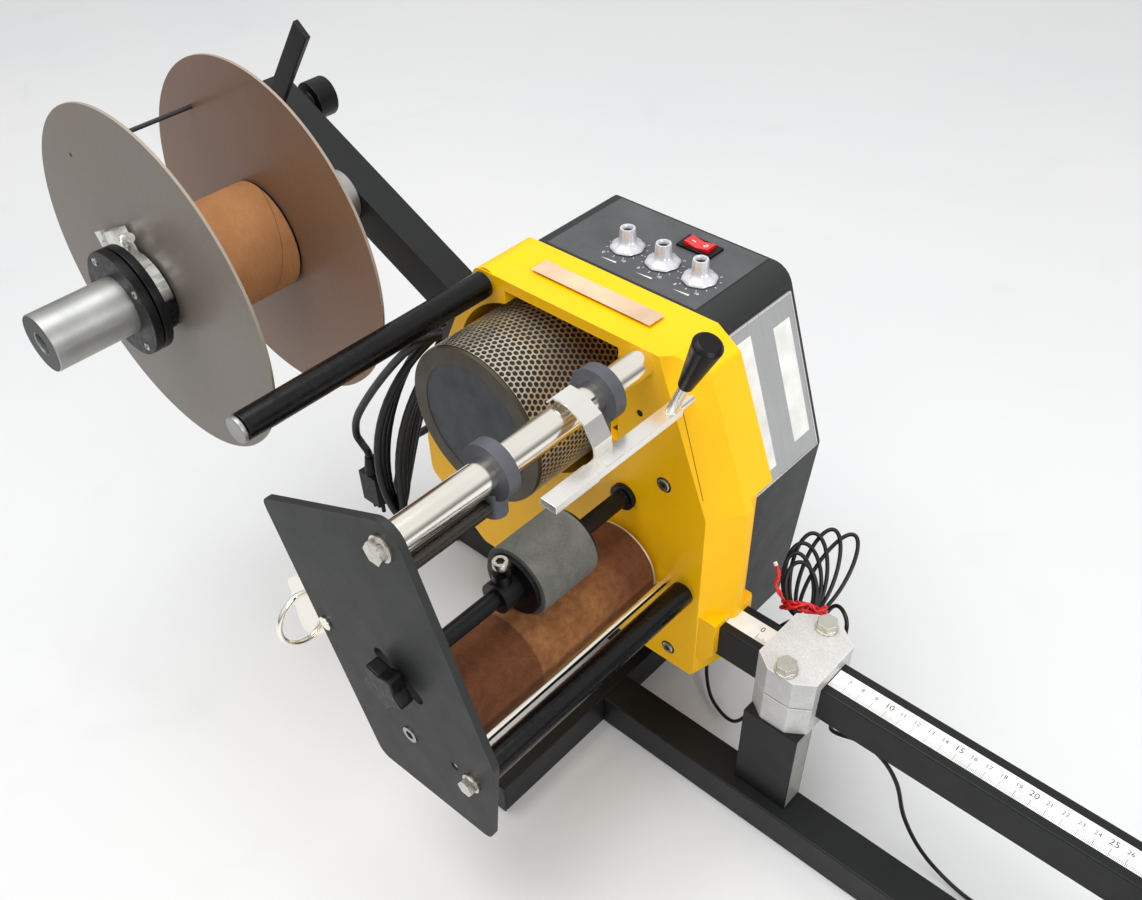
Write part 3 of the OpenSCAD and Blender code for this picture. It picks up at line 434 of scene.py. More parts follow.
extras = {
    "mesh_bright": metal("mesh_bright", tone(214, 206, 184), 0.32, ALL_WAYS, 0.00003, 0.75, 0.3),
    "bright_steel": metal("bright_steel", tone(238, 236, 230), 0.24, (260, 8, 260), 0.000002, 0.85, 0.05,
                          streak=0.2),
    "band_steel": band_steel(),
    "plate_fixings": plate_fixings(),
    "tape_white": moulded("tape_white", tone(236, 236, 232), 0.45),
    "print_black": moulded("print_black", tone(40, 40, 43), 0.6),
    "print_white": moulded("print_white", tone(222, 223, 222), 0.55),
    "strip_tan": moulded("strip_tan", tone(208, 178, 148), 0.55),
    "label_white": moulded("label_white", tone(228, 229, 224), 0.5),
    "tie_red": moulded("tie_red", tone(208, 30, 34), 0.35),
    "rim_white": metal("rim_white", tone(226, 224, 220), 0.3, AROUND_Y, 0.00001, 0.7),
    # Near-black painted shade, laid in holes, socket floors, recesses and seams.
    "painted_shade": moulded("painted_shade", tone(16, 16, 17), 0.7),
    "panel_skin": moulded("panel_skin", tone(73, 74, 75), 0.45),
    # A pale strip for the upright's side: painted reflection.
    "painted_reflection": metal("painted_reflection", tone(150, 150, 146), 0.45, (40, 40, 900), 0.00001, 0.4),
    # The yellow darkened: painted shade for the casting's seam.
    "seam_shade": moulded("seam_shade", tone(96, 62, 10), 0.6),
    "tie_tip": moulded("tie_tip", tone(226, 220, 206), 0.5),
}
looks.update(extras)
OWN_LOOK = {
    "lever_bar": "bright_steel",
    "hold_down_strip": "bright_steel",
    "hub_clamp": "band_steel",
    "disc_pin": "print_black",
    "plate_bolts": "plate_fixings",
}

for subpart in frame["record"]["subparts"]:
    carried = nodes[subpart["node"]]
    carried.data.materials.clear()
    carried.data.materials.append(looks[OWN_LOOK.get(subpart["node"], subpart["material_slot"])])


# Mesh helpers

def hexagon(across):
    """Radius of a hexagon, by angle, from its distance across corners."""
    return lambda angle: across / 2 * math.cos(math.pi / 6) / math.cos(angle % (math.pi / 3) - math.pi / 6)


class Shape:
    """Points and faces of one piece, gathered from simple forms."""

    def __init__(self):
        self.points = []
        self.faces = []

    def join(self, points, faces):
        base = len(self.points)
        self.points += [Vector(p) for p in points]
        self.faces += [[base + i for i in face] for face in faces]
        return self

    def box(self, low, high, place=None):
        corners = [Vector((x, y, z)) for x in (low[0], high[0])
                   for y in (low[1], high[1]) for z in (low[2], high[2])]
        if place:
            corners = [place @ c for c in corners]
        return self.join(corners, [(0, 1, 3, 2), (4, 6, 7, 5), (0, 4, 5, 1),
                                   (2, 3, 7, 6), (0, 2, 6, 4), (1, 5, 7, 3)])

    def lathe(self, origin, axis, profile, sides=48, ring=False):
        """Turns a profile of (radius, distance along the axis); a radius may be a function of the angle."""
        axis = Vector(axis).normalized()
        side = axis.orthogonal().normalized()
        other = axis.cross(side)
        points, rows = [], []
        for radius, height in profile:
            foot = Vector(origin) + axis * height
            if not callable(radius) and radius == 0:
                rows.append([len(points)])
                points.append(foot)
                continue
            rows.append(list(range(len(points), len(points) + sides)))
            for k in range(sides):
                angle = 2 * math.pi * k / sides
                reach = radius(angle) if callable(radius) else radius
                points.append(foot + reach * (math.cos(angle) * side + math.sin(angle) * other))
        faces = []
        for first, second in zip(rows, rows[1:] + (rows[:1] if ring else [])):
            for k in range(sides):
                corners = [first[k % len(first)], first[(k + 1) % len(first)],
                           second[(k + 1) % len(second)], second[k % len(second)]]
                faces.append(list(dict.fromkeys(corners)))
        if not ring:
            faces += [list(row) for row in (rows[0], rows[-1]) if len(row) > 1]
        return self.join(points, [f for f in faces if len(f) > 2])

    def tube(self, path, radius, sides=12):
        """A round tube along a path; the radius may be a function of the point's number."""
        path = [Vector(p) for p in path]
        last = len(path) - 1
        normal = Vector((0.3, 0.9, 0.2))
        points, faces = [], []
        for i, p in enumerate(path):
            ahead = (path[min(i + 1, last)] - path[max(i - 1, 0)]).normalized()
            normal = (normal - normal.dot(ahead) * ahead).normalized()
            other = ahead.cross(normal)
            reach = radius(i) if callable(radius) else radius
            for k in range(sides):
                angle = 2 * math.pi * k / sides
                points.append(p + reach * (math.cos(angle) * normal + math.sin(angle) * other))
        for i in range(last):
            for k in range(sides):
                n = (k + 1) % sides
                faces.append([i * sides + k, i * sides + n, (i + 1) * sides + n, (i + 1) * sides + k])
        faces.append(list(range(sides))[::-1])
        faces.append([last * sides + k for k in range(sides)])
        return self.join(points, faces)

    def words(self, text, size, place, thick=0.00004):
        """Flat figures, laid with their foot on the plane that the matrix gives."""
        curve = bpy.data.curves.new("words", "FONT")
        curve.body = text
        curve.size = size
        curve.align_x = "CENTER"
        curve.align_y = "CENTER"
        curve.extrude = thick
        curve.resolution_u = 3
        carrier = bpy.data.objects.new("words", curve)
        scene.collection.objects.link(carrier)
        mesh = carrier.evaluated_get(bpy.context.evaluated_depsgraph_get()).to_mesh()
        self.join([place @ v.co for v in mesh.vertices], [list(p.vertices) for p in mesh.polygons])
        bpy.data.objects.remove(carrier)
        bpy.data.curves.remove(curve)
        return self

    def make(self, name, body, slot, look, bevel=0.0, sharp=35):
        mesh = bpy.data.meshes.new(name)
        mesh.from_pydata(self.points, [], self.faces)
        mesh.validate()
        work = bmesh.new()
        work.from_mesh(mesh)
        bmesh.ops.remove_doubles(work, verts=work.verts, dist=0.0000005)
        bmesh.ops.recalc_face_normals(work, faces=work.faces)
        work.to_mesh(mesh)
        work.free()
        for polygon in mesh.polygons:
            polygon.use_smooth = True
        mesh.set_sharp_from_angle(angle=math.radians(sharp))
        mesh.materials.append(looks[look])
        made = bpy.data.objects.new(name, mesh)
        scene.collection.objects.link(made)
        if bevel:
            round_edges(made, bevel)
        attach(made, body)
        return made


def round_edges(piece, width, segments=2):
    rounding = piece.modifiers.new("rounding", "BEVEL")
    rounding.width = width
    rounding.segments = segments
    rounding.limit_method = "ANGLE"
    rounding.angle_limit = math.radians(32)
    rounding.use_clamp_overlap = True
    shading = piece.modifiers.new("shading", "WEIGHTED_NORMAL")
    shading.keep_sharp = False
    shading.weight = 80


# Cords

def blend_point(a, b, c, d, t):
    square = (2 * a - 5 * b + 4 * c - d) * t * t
    cube = (3 * b - a - 3 * c + d) * t * t * t
    return 0.5 * (2 * b + (c - a) * t + square + cube)


def smooth(points, steps):
    last = len(points) - 1
    curve = []
    for i in range(last):
        before, after = points[max(i - 1, 0)], points[min(i + 2, last)]
        for k in range(steps):
            curve.append(blend_point(before, points[i], points[i + 1], after, k / steps))
    return curve + [points[last]]


def step_between(values, k):
    i = k // 24
    return values[i] + (values[min(i + 1, len(values) - 1)] - values[i]) * (k / 24 - i)


def coiled(base, up, side, ahead, heights, widths, leans, bows, count):
    """Loops that all start at one base, each with its own height, width, lean and bow."""
    points = []
    for k in range(count):
        turn = math.radians(15 * k)
        lean = math.radians(step_between(leans, k))
        u = step_between(heights, k) / 2 * (1 - math.cos(turn))
        v = step_between(widths, k) * math.sin(turn) - step_between(bows, k) * math.sin(turn) ** 2
        rise = u * math.cos(lean) - v * math.sin(lean)
        out = u * math.sin(lean) + v * math.cos(lean)
        points.append((Vector(base) + rise * Vector(up) + out * Vector(side) + k / 24 * Vector(ahead)) * MM)
    return points


def cord_path(start, loop, end):
    """The route as the solids follow it, then rounded once more between its points."""
    lead_in = smooth(start + loop[:2], 4)[:4 * len(start)]
    lead_out = smooth(loop[-2:] + end, 4)[5:]
    return smooth(lead_in + loop + lead_out, 2)


def lie_on_floor(path, radius):
    """Lifts the points that the rounding has taken a hair under the floor."""
    return [Vector((p[0], p[1], max(p[2], radius))) for p in path]


def make_cord(name, node, path, radius):
    path = lie_on_floor(path, radius)
    made = Shape().tube(path, radius).make(name, "frame", "cord_black", "cord_black", sharp=60)
    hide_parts(node)
    return made


MAINS_START = [mm(-214, 95, 164), mm(-224, 95, 164), mm(-240, 90, 158), mm(-262, 78, 138), mm(-281, 62, 107),
               mm(-300, 54, 87), mm(-306, 42, 63), mm(-307, 32, 37)]
MAINS_LOOP = coiled((-271.3, 7.7, 60), (0, 0, 1), (0.603, 0.796, 0), (6.1292, -4.6431, 0),
                    (195, 198, 195, 197), (11, 12, 11, 10), (17.3, 17.3, 17.3, 17.3), (10, 14, 20, 26), 85)
MAINS_END = [mm(-227, 15, 245), mm(-269, 10, 196), mm(-309, 8, 140), mm(-319, 8, 113), mm(-314, 8, 104),
             mm(-306, 7, 100), mm(-304, 7, 94)]
COIL_BASE = (118.7, 53.4, 152)
COIL_UP = (-0.324, 0.670, 0.668)
COIL_SIDE = (0.900, 0.435, 0)
COIL_AHEAD = (-1.2513, 2.5886, -3.1992)
SENSOR_START = [mm(22, 95, 54), mm(22, 95, 44), mm(24, 88, 23), mm(34, 69, 9), mm(56, 49, 5), mm(84, 41, 10),
                mm(99, 47, 50), mm(100, 47, 105), mm(107, 44, 140)]
SENSOR_LOOP = coiled(COIL_BASE, COIL_UP, COIL_SIDE, COIL_AHEAD, (34, 44, 48, 58, 64, 70, 70),
                     (9, 10, 13, 14, 14, 14, 12), (-4, -20, -12, -7, 2, 16, 26), (0, 0, 0, 0, 0, 0, 0), 145)
SENSOR_END = [mm(121, 80, 133), mm(129, 77, 151), mm(136, 72, 160), mm(143, 67, 162), mm(148, 63, 158),
              mm(150, 60, 146), mm(152, 59, 122), mm(160, 52, 104), mm(165, 40, 95), mm(168, 28, 96),
              mm(176, 19, 104), mm(198, 15, 117), mm(216, 13, 115), mm(229, 14, 98), mm(239, 17, 66),
              mm(254, 22, 36), mm(274, 27, 14), mm(300, 30, 2.4), mm(332, 34, 2.2), mm(364, 46, 2.2),
              mm(386, 68, 3.5), mm(392, 92, 6), mm(392, 104, 6)]

make_cord("mains_cord", "mains_lead", cord_path(MAINS_START, MAINS_LOOP, MAINS_END), 3.5 * MM)
make_cord("sensor_cord", "sensor_lead", cord_path(SENSOR_START, SENSOR_LOOP, SENSOR_END),
          1.5 * MM)


# Rounded edges on the carried solids

def welding_group():
    """Joins the split corners of an imported mesh and shades it smooth."""
    group = bpy.data.node_groups.new("weld_corners", "GeometryNodeTree")
    group.interface.new_socket("Geometry", in_out="INPUT", socket_type="NodeSocketGeometry")
    group.interface.new_socket("Geometry", in_out="OUTPUT", socket_type="NodeSocketGeometry")
    source = group.nodes.new("NodeGroupInput")
    weld = group.nodes.new("GeometryNodeMergeByDistance")
    weld.inputs["Distance"].default_value = 0.000004
    plain = group.nodes.new("GeometryNodeRemoveAttribute")
    plain.inputs["Name"].default_value = "custom_normal"
    shade = group.nodes.new("GeometryNodeSetShadeSmooth")
    result = group.nodes.new("NodeGroupOutput")
    for first, second in ((source, weld), (weld, plain), (plain, shade), (shade, result)):
        group.links.new(first.outputs["Geometry"], second.inputs["Geometry"])
    return group


WELD = welding_group()


def soften(node, width):
    """Rounds a carried solid's edges with modifiers, so that its own mesh stays as it is."""
    piece = nodes[node]
    piece.modifiers.new("weld", "NODES").node_group = WELD
    flat = piece.modifiers.new("flat", "DECIMATE")
    flat.decimate_type = "DISSOLVE"
    flat.angle_limit = math.radians(0.4)
    round_edges(piece, width)


ROUNDED = {
    "foot_rails": 1.2, "cross_feet": 1.2, "upright": 1.0, "ruler_bar": 1.2, "tube_plugs": 0.8,
    "clamp_lower": 1.2, "clamp_upper": 1.2, "clamp_bolts": 0.5, "front_casting": 0.9, "hood": 1.2,
    "data_plate": 0.3, "end_plate": 0.8, "lever_bar": 0.6, "reel_arm": 1.2, "mandrel": 0.8,
    "plate_bolts": 0.5, "latch_bracket": 0.5, "tension_lever": 0.6, "switch_bezel": 0.4, "switch_rocker": 0.5,
    "drum_cap": 0.5, "front_disc": 0.3, "rear_disc": 0.3, "reel_hub": 0.6, "hub_clamp": 0.6,
    "arm_knob": 1.0, "star_knob": 1.2, "front_collar": 0.7, "rear_collar": 0.7, "lever_grip": 0.8,
    "mains_plug": 1.2, "pressure_hub": 0.6, "pressure_shaft": 0.5, "guide_tube": 0.6, "upper_axle": 0.8,
    "upper_roller": 0.5, "lower_roller": 0.5, "pressure_roller": 0.6, "brown_roller": 0.6, "sensor_plug": 0.6,
}
for name, width in ROUNDED.items():
    soften(name, width * MM)


# Drum skin

def drum_skin():
    """A perforated sheet round the drum: staggered round holes, one hexagonal cell each."""
    axis, radius, front, back = round_about_y("drum_sleeve")
    outer = radius + 0.5 * MM
    pitch = 4.4 * MM
    hole = 1.8 * MM
    across = round(2 * math.pi * outer / pitch)
    step = 2 * math.pi / across
    rows = round((back - front) / (pitch * math.sqrt(3) / 2))
    row = (back - front) / rows

    def on_drum(turn, y, reach):
        return axis + Vector((reach * math.sin(turn), y, reach * math.cos(turn)))

    shape = Shape()
    for i in range(rows):
        middle = front + (i + 0.5) * row
        for j in range(across):
            turn = (j + 0.5 * (i % 2)) * step
            corners = []
            for k in range(6):
                angle = math.pi / 6 + k * math.pi / 3
                drop = (2 if k % 3 == 1 else 1) / 3 * row * (1 if math.sin(angle) > 0 else -1)
                y = middle + drop
                if i == 0 and drop < 0:
                    y = front
                if i == rows - 1 and drop > 0:
                    y = back
                corners.append((turn + step / 2 * (1, 0, -1, -1, 0, 1)[k], y))
            rim = []
            for k in range(12):
                angle = math.pi / 6 + k * math.pi / 6
                rim.append((turn + hole / outer * math.cos(angle), middle + hole * math.sin(angle)))
            points = [on_drum(t, y, outer) for t, y in corners + rim]
            points += [on_drum(t, y, radius) for t, y in rim]
            faces = [[k, (k + 1) % 6, 6 + (2 * k + 2) % 12, 6 + 2 * k + 1, 6 + 2 * k] for k in range(6)]
            faces += [[6 + k, 6 + (k + 1) % 12, 18 + (k + 1) % 12, 18 + k] for k in range(12)]
            shape.join(points, faces)
    shape.make("drum_skin", "drum", "mesh_metal", "mesh_bright", sharp=50)


drum_skin()


# Ruled tape on the bar

RULE_ZERO = 106
RULE_STEP = 10
RULE_LAST = 36
RULE_SPANS = ((82.3, 118.4), (165.6, 467))


def ruled_tape():
    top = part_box("ruler_bar")[1][2]
    front, back = 13 * MM, 29 * MM
    tape, ticks, figures = Shape(), Shape(), Shape()
    for first, last in RULE_SPANS:
        tape.box((first * MM, front, top), (last * MM, back, top + 0.12 * MM))
        for x in range(math.ceil(first + 1), math.floor(last)):
            place = x - RULE_ZERO
            if place < 0 or x < first + 0.5:
                continue
            reach = 6.2 if place % 10 == 0 else 4.6 if place % 5 == 0 else 3.0
            wide = 0.16 if place % 10 == 0 else 0.11
            ticks.box(((x - wide) * MM, front + 0.3 * MM, top + 0.11 * MM),
                      ((x + wide) * MM, front + reach * MM, top + 0.16 * MM))
        for n in range(RULE_LAST + 1):
            x = RULE_ZERO + RULE_STEP * n
            if first + 3 < x < last - 3:
                size = 6.4 if n % 5 == 0 else 4.6
                place = Matrix.Translation((x * MM, 23.6 * MM, top + 0.13 * MM))
                figures.words(str(n), size * MM, place)
    tape.make("ruler_tape", "frame", "plate_grey", "tape_white")
    ticks.make("ruler_ticks", "frame", "plug_black", "print_black")
    figures.make("ruler_numbers", "frame", "plug_black", "print_black")


ruled_tape()


# Front casting: screws in recesses of painted shade, a small hole and the seam as painted shade, and a bare
# strip

def screw(name, at, axis, radius, key, body, slot="zinc_bolts", rise=1.2 * MM):
    """A socket screw: a chamfered head with a hexagonal hole, its floor a dark hexagon of painted shade."""
    hole, bottom = hexagon(key), hexagon(key * 0.98)
    head = [(0, rise * 0.1), (hole, rise * 0.1), (hole, rise), (radius - 0.5 * MM, rise),
            (radius, rise - 0.4 * MM), (radius, 0)]
    Shape().lathe(at, axis, head).make(name, body, slot, "zinc_bolts")
    # The hole's floor: painted shade.
    Shape().lathe(at, axis, [(bottom, rise * 0.1), (bottom, rise * 0.1 + 0.05 * MM)]).make(
        name + "_key", body, "plug_black", "painted_shade")


CASTING_SCREWS = ((32.4, 263.3), (43.2, 108.3))
for number, (x, z) in enumerate(CASTING_SCREWS, 1):
    # A dark disc round each screw: painted shade in its recess.
    Shape().lathe(mm(x, 0, z), (0, -1, 0), [(0, 0.02 * MM), (5.6 * MM, 0.02 * MM), (5.9 * MM, 0)]).make(
        "casting_recess_%d" % number, "frame", "plug_black", "painted_shade")
    screw("casting_screw_%d" % number, mm(x, -0.02, z), (0, -1, 0), 4.6 * MM, 4.6 * MM, "frame")

# The small hole as a dark disc: painted shade.
Shape().lathe(mm(11, 0, 311), (0, -1, 0), [(2.4 * MM, -0.05 * MM), (2.4 * MM, 0.04 * MM)], 32).make(
    "casting_hole", "frame", "plug_black", "painted_shade")
# The seam as a dark line: painted shade in the groove.
seam_place = Matrix.Translation(mm(44, 0, 329)) @ Matrix.Rotation(-math.atan2(20, 62), 4, "Y")
Shape().box(mm(-0.3, -0.03, -64), mm(0.3, 0.02, 0), seam_place).make(
    "casting_seam", "frame", "yellow_paint", "seam_shade")

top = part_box("front_casting")[1][2]
Shape().box((-97 * MM, 18.5 * MM, top - 0.02 * MM), (2 * MM, 33 * MM, top + 0.12 * MM)).make(
    "casting_strip", "frame", "yellow_paint", "strip_tan", 0.1 * MM)


# Data plate: two bare labels and a bright rim

CORNER_X = 26
PLATE_TURN = math.atan2(43, 124)
PLATE = Matrix.Translation(mm(CORNER_X, 0, 360)) @ Matrix.Rotation(-PLATE_TURN, 4, "Y")
PLATE_FACE = 1.5 * MM


def plate_strip(shape, y0, y1, z0, z1, rise):
    shape.box((PLATE_FACE - 0.05 * MM, y0 * MM, z0 * MM), (PLATE_FACE + rise * MM, y1 * MM, z1 * MM), PLATE)


labels = Shape()
plate_strip(labels, 102, 120, -115, -30.5, 0.12)
plate_strip(labels, 62, 79, -120, -24, 0.12)
labels.make("plate_labels", "frame", "plate_grey", "label_white", 0.05 * MM)
rim = Shape()
plate_strip(rim, 53, 126, -16, -15, 0.4)
plate_strip(rim, 53, 126, -130, -129, 0.4)
plate_strip(rim, 53, 54, -129, -16, 0.4)
plate_strip(rim, 125, 126, -129, -16, 0.4)
rim.make("plate_rim", "frame", "plate_grey", "rim_white", 0.15 * MM)


# Control panel

PANEL_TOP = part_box("hood")[1][2]
SKIN_TOP = PANEL_TOP + 0.3 * MM
KNOBS = (("knob_left", "knob_1"), ("knob_middle", "knob_2"), ("knob_right", "knob_3"))


def lobed(radius, depth, count=8):
    return lambda angle: radius - depth * (0.5 - 0.5 * math.cos(count * angle))


def control_knob(node, body):
    """A lobed skirt that sweeps up into a fluted stem with an open top, its floor painted as shade."""
    low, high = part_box(node)
    centre = Vector(((low[0] + high[0]) / 2, (low[1] + high[1]) / 2, PANEL_TOP))
    profile = [(0, 0.5), (lobed(11.2, 0.5), 0.5), (lobed(12.0, 0.6), 1.1), (lobed(11.7, 0.6), 2.0),
               (lobed(10.3, 0.5), 3.0), (lobed(8.2, 0.8), 4.2), (lobed(6.6, 0.5), 5.6),
               (lobed(5.9, 0.35), 7.2), (lobed(5.5, 0.3), 10), (lobed(5.4, 0.3), 14.0),
               (5.0, 14.9), (4.0, 15.0), (3.6, 14.6), (3.5, 12.0), (0, 12.0)]
    scaled = [((lambda a, f=r: f(a) * MM) if callable(r) else r * MM, h * MM) for r, h in profile]
    knob = Shape().lathe(centre, (0, 0, 1), scaled, 96).make(
        node + "_body", body, "knob_grey", "knob_grey", sharp=50)
    stem = [(3 * MM, -9 * MM), (3 * MM, 0.6 * MM)]
    Shape().lathe(centre, (0, 0, 1), stem, 32).make(node + "_shaft", body, "steel", "steel")
    # The open top's floor: painted shade.
    Shape().lathe(centre, (0, 0, 1), [(3.4 * MM, 12.0 * MM), (3.4 * MM, 12.3 * MM)], 32).make(
        node + "_socket", body, "plug_black", "painted_shade")
    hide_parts(node)


def panel():
    """The panel's skin and its seam in painted shade, the knobs, and round each knob a scale with a wedge
    under it.
    """
    front, back, edge = 52 * MM, 129 * MM, 11 * MM
    sunk = PANEL_TOP - 0.05 * MM
    Shape().box((-114 * MM, front, sunk), (edge, back, SKIN_TOP)).make(
        "panel_skin", "frame", "charcoal_paint", "panel_skin", 0.12 * MM)
    # The seam: a dark strip of painted shade along the skin's edge.
    Shape().box((edge, front, sunk), (edge + 0.9 * MM, back, PANEL_TOP + 0.05 * MM)).make(
        "panel_seam", "frame", "plug_black", "painted_shade")
    marks = Shape()
    for node, body in KNOBS:
        control_knob(node, body)
        low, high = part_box(node)
        x, y = (low[0] + high[0]) / 2, (low[1] + high[1]) / 2
        for k in range(11):
            angle = math.radians(-90 - 140 + 28 * k)
            turn = Matrix.Translation((x, y, SKIN_TOP)) @ Matrix.Rotation(angle, 4, "Z")
            reach = 15.2 if k % 5 == 0 else 14.4
            marks.box(mm(13.2, -0.2, 0), mm(reach, 0.2, 0.06), turn)
        foot = Vector((x, y - 19 * MM, SKIN_TOP))
        wedge = [mm(-6, -0.8, 0), mm(6, -0.8, 0), mm(6, 0.8, 0)]
        marks.join([foot + p for p in wedge] + [foot + p + mm(0, 0, 0.06) for p in wedge],
                   [(0, 2, 1), (3, 4, 5), (0, 1, 4, 3), (1, 2, 5, 4), (2, 0, 3, 5)])
        for text, dx in (("0", -8.5), ("10", 8.5)):
            place = Matrix.Translation((x + dx * MM, y - 14.6 * MM, SKIN_TOP + 0.02 * MM))
            marks.words(text, 3.4 * MM, place)
    marks.make("panel_marks", "frame", "plate_grey", "print_white")


def rocker_marks():
    """A bar on one half of the switch and a ring on the other, each along its slope."""
    low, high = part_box("switch_rocker")
    middle = Vector(((low[0] + high[0]) / 2, (low[1] + high[1]) / 2, PANEL_TOP + 2.6 * MM))
    slope = math.atan2(1.9, 9.7)
    left = Matrix.Translation(middle) @ Matrix.Rotation(slope, 4, "Y")
    right = Matrix.Translation(middle) @ Matrix.Rotation(-slope, 4, "Y")
    marks = Shape().box(mm(-6.6, -0.35, 0), mm(-3.4, 0.35, 0.06), left)
    inner, outer, rise = 1.1 * MM, 1.7 * MM, 0.06 * MM
    section = [(inner, 0), (outer, 0), (outer, rise), (inner, rise)]
    ring = Shape().lathe((0, 0, 0), (0, 0, 1), section, 32, ring=True)
    marks.join([right @ (p + mm(5, 0, 0)) for p in ring.points], ring.faces)
    marks.make("rocker_marks", "rocker", "plate_grey", "print_white")


panel()
rocker_marks()


# Reel details

def reel_details():
    """The flange's screws, the card that runs on past the core's end, and the mandrel's bolt with painted
    shade at the floor of its bore.
    """
    axis, _, front, _ = round_about_y("reel_hub")
    for k in range(4):
        angle = math.radians(35 + 90 * k)
        at = axis + Vector((29.5 * MM * math.cos(angle), front, 29.5 * MM * math.sin(angle)))
        screw("flange_screw_%d" % (k + 1), at, (0, -1, 0), 2.6 * MM, 2.6 * MM, "reel", rise=0.9 * MM)
    axis, radius, _, back = round_about_y("reel_core")
    Shape().lathe(axis + Vector((0, back, 0)), (0, 1, 0), [
        (radius - 0.4 * MM, 0), (radius, 0), (radius, 5 * MM), (radius - 0.4 * MM, 5 * MM)], 96).make(
        "core_edge", "reel", "core_card", "core_card")
    axis, _, front, _ = round_about_y("mandrel")
    at = axis + Vector((0, front, 0))
    Shape().lathe(at, (0, 1, 0), [(hexagon(11 * MM), 4 * MM), (hexagon(11 * MM), 9 * MM)]).make(
        "mandrel_bolt", "frame", "plug_black", "print_black", 0.4 * MM)
    # A dark disc behind the bolt head: painted shade at the floor of the bore.
    Shape().lathe(at, (0, 1, 0), [(6.95 * MM, 9 * MM), (6.95 * MM, 9.5 * MM)]).make(
        "mandrel_washer", "frame", "plug_black", "painted_shade")


reel_details()


# Roller details

def roller_details():
    """A pale rim at the flocked roller's far end, and the cap screw on the pressure roller's hub."""
    axis, radius, _, back = round_about_y("brown_roller")
    ring = [(radius - 7 * MM, back), (radius + 0.2 * MM, back), (radius + 0.3 * MM, back + 1.2 * MM),
            (radius - 7 * MM, back + 1.2 * MM)]
    Shape().lathe(axis, (0, 1, 0), ring, 96, ring=True).make("roller_rim", "nip_roller", "steel", "rim_white")
    boss = Vector((0, -117.5 * MM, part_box("pressure_hub")[1][2]))
    cap = [(3 * MM, -0.1 * MM), (3 * MM, 1.2 * MM), (5 * MM, 1.2 * MM), (5.2 * MM, 1.5 * MM),
           (5.2 * MM, 5.6 * MM), (4.8 * MM, 6.2 * MM), (hexagon(6 * MM), 6.2 * MM),
           (hexagon(6 * MM), 3.4 * MM), (0, 3.4 * MM)]
    Shape().lathe(boss, (0, 0, 1), cap).make("hub_screw", "frame", "zinc_bolts", "zinc_bolts")
    # The socket's floor: painted shade.
    Shape().lathe(boss, (0, 0, 1), [(hexagon(5.9 * MM), 3.4 * MM), (hexagon(5.9 * MM), 3.6 * MM)]).make(
        "hub_screw_hole", "frame", "plug_black", "painted_shade")


roller_details()


# Hold-down lever sleeve

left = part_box("lever_bar")[0][0]
Shape().box((left - 0.6 * MM, -115.3 * MM, 329.2 * MM), (left + 11.6 * MM, -78.6 * MM, 334.9 * MM)).make(
    "lever_sleeve", "hold_down", "steel", "bright_steel", 0.5 * MM)


# Upright's side: a pale strip of painted reflection

low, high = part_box("upright")
# Pale strip on the upright's side: painted reflection of the floor.
Shape().box((high[0] - 0.02 * MM, low[1] + 1.2 * MM, low[2] + 1 * MM),
            (high[0] + 0.1 * MM, high[1] - 1.2 * MM, high[2])).make(
    "upright_side", "frame", "steel", "painted_reflection")


# Tie round the sensor coil

def coil_tie():
    """Two turns of twisted wire round the foot of the coil, one end standing up and paler at its tip."""
    up, side, ahead = Vector(COIL_UP), Vector(COIL_SIDE), Vector(COIL_AHEAD).normalized()
    middle = Vector(COIL_BASE) + 13 * ahead + 7 * up
    turns = []
    for k in range(33):
        angle = math.radians(200 + 22.5 * k)
        wide = 15 + 1.2 * math.sin(2.3 * k)
        deep = 19 + 1.0 * math.sin(1.7 * k)
        rise = 2.6 * math.sin(0.55 * k)
        turns.append(middle + wide * math.cos(angle) * side + deep * math.sin(angle) * ahead + rise * up)
    near = middle - 20 * ahead
    end = [near + out * side + rise * up for out, rise in ((-16, 4), (-22, 12), (-21, 19), (-24, 25))]
    knot = [near + out * side + rise * up for out, rise in ((-8, -2), (2, 3), (9, -1), (15, 4))]
    core = smooth([p * MM for p in end[::-1] + turns + knot], 4)
    twist = []
    for strand in range(2):
        path = []
        for i, p in enumerate(core):
            ahead_here = (core[min(i + 1, len(core) - 1)] - core[max(i - 1, 0)]).normalized()
            out = ahead_here.orthogonal().normalized()
            angle = 0.9 * i + math.pi * strand
            path.append(p + 0.8 * MM * (math.cos(angle) * out + math.sin(angle) * ahead_here.cross(out)))
        twist.append(path)
    shape = Shape()
    for path in twist:
        shape.tube(path, 0.95 * MM, 8)
    shape.make("coil_tie", "frame", "red_plastic", "tie_red", sharp=70)
    tip = core[0] + (core[0] - core[2]).normalized() * 3 * MM
    Shape().tube([core[0], tip], 1.5 * MM, 10).make("coil_tie_tip", "frame", "plate_grey", "tie_tip")


coil_tie()


# Stage and light

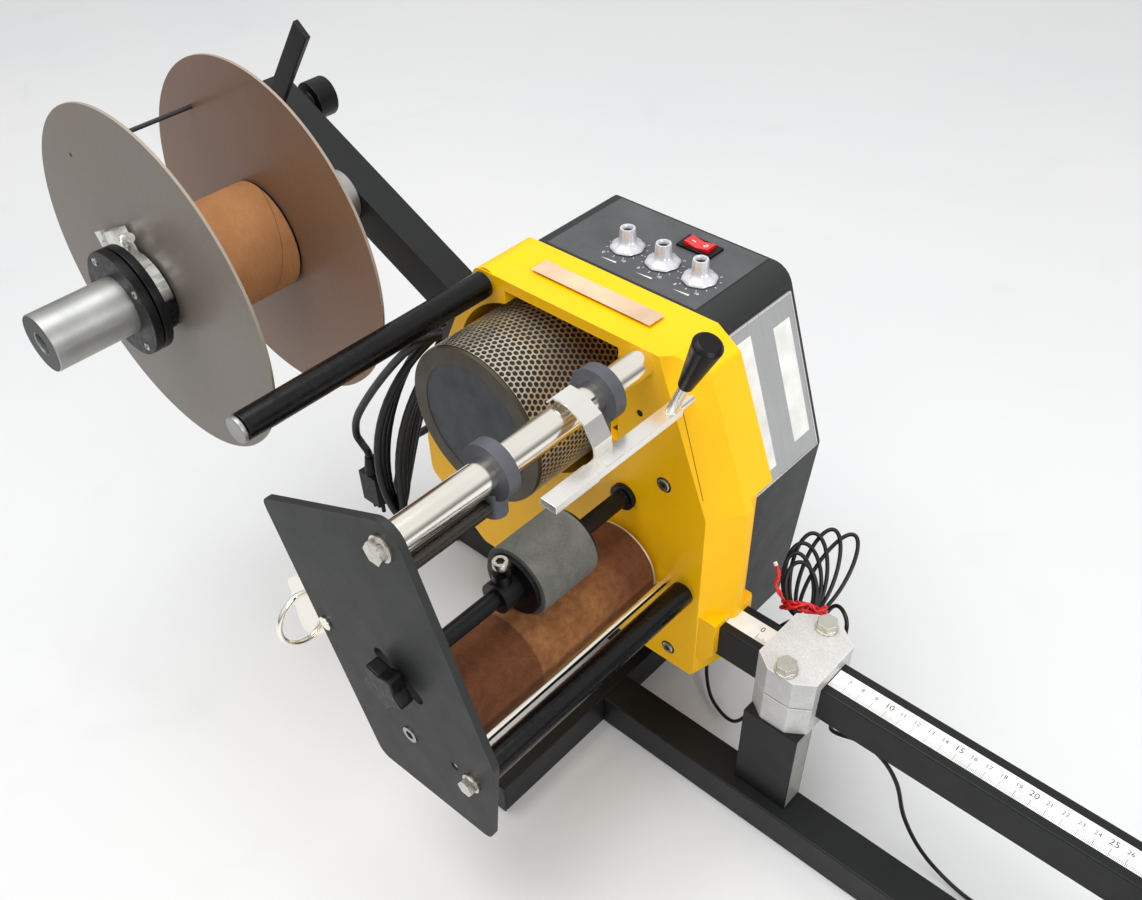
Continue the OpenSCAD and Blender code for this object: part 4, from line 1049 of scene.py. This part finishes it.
def floor():
    shader = Shader("floor", specular=0.3)
    drift = shader.noise(1.6, 4)
    smudge = shader.between(shader.noise(9, 6, distortion=0.8), 0.6, 0.78)
    base = shader.mix(shader.between(drift, 0.3, 0.7), tone(214, 215, 216), tone(219, 219, 219))
    shader.colour(shader.mix(shader.sum("MULTIPLY", smudge, 0.25), base, tone(204, 204, 203)))
    shader.rough(shader.between(drift, 0.3, 0.7, 0.55, 0.7))
    mesh = bpy.data.meshes.new("floor")
    side = 6
    corners = [(-side, -side, 0), (side, -side, 0), (side, side, 0), (-side, side, 0)]
    mesh.from_pydata(corners, [], [(0, 1, 2, 3)])
    mesh.materials.append(shader.material)
    made = bpy.data.objects.new("floor", mesh)
    scene.collection.objects.link(made)


def area_light(name, at, aim, width, power):
    data = bpy.data.lights.new(name, "AREA")
    data.shape = "DISK"
    data.size = width
    data.energy = power
    light = bpy.data.objects.new(name, data)
    scene.collection.objects.link(light)
    light.location = at
    light.rotation_mode = "QUATERNION"
    light.rotation_quaternion = (Vector(aim) - Vector(at)).to_track_quat("-Z", "Y")


def studio():
    world = bpy.data.worlds.new("studio")
    world.use_nodes = True
    scene.world = world
    tree = world.node_tree
    place = tree.nodes.new("ShaderNodeTexCoord")
    split = tree.nodes.new("ShaderNodeSeparateXYZ")
    ramp = tree.nodes.new("ShaderNodeValToRGB")
    tree.links.new(place.outputs["Generated"], split.inputs[0])
    tree.links.new(split.outputs["Z"], ramp.inputs["Fac"])
    ramp.color_ramp.elements[0].position = 0.0
    ramp.color_ramp.elements[0].color = (0.28, 0.28, 0.29, 1)
    ramp.color_ramp.elements[1].position = 0.5
    ramp.color_ramp.elements[1].color = (1, 1, 1, 1)
    horizon = ramp.color_ramp.elements.new(0.16)
    horizon.color = (0.34, 0.34, 0.35, 1)
    tree.links.new(ramp.outputs["Color"], tree.nodes["Background"].inputs["Color"])
    tree.nodes["Background"].inputs["Strength"].default_value = 0.85
    area_light("key", (-0.3, -0.3, 2.2), (0, 0, 0.2), 1.7, 31)
    area_light("fill", (2.0, -0.3, 1.2), (0, 0, 0.2), 1.2, 20)


floor()
studio()
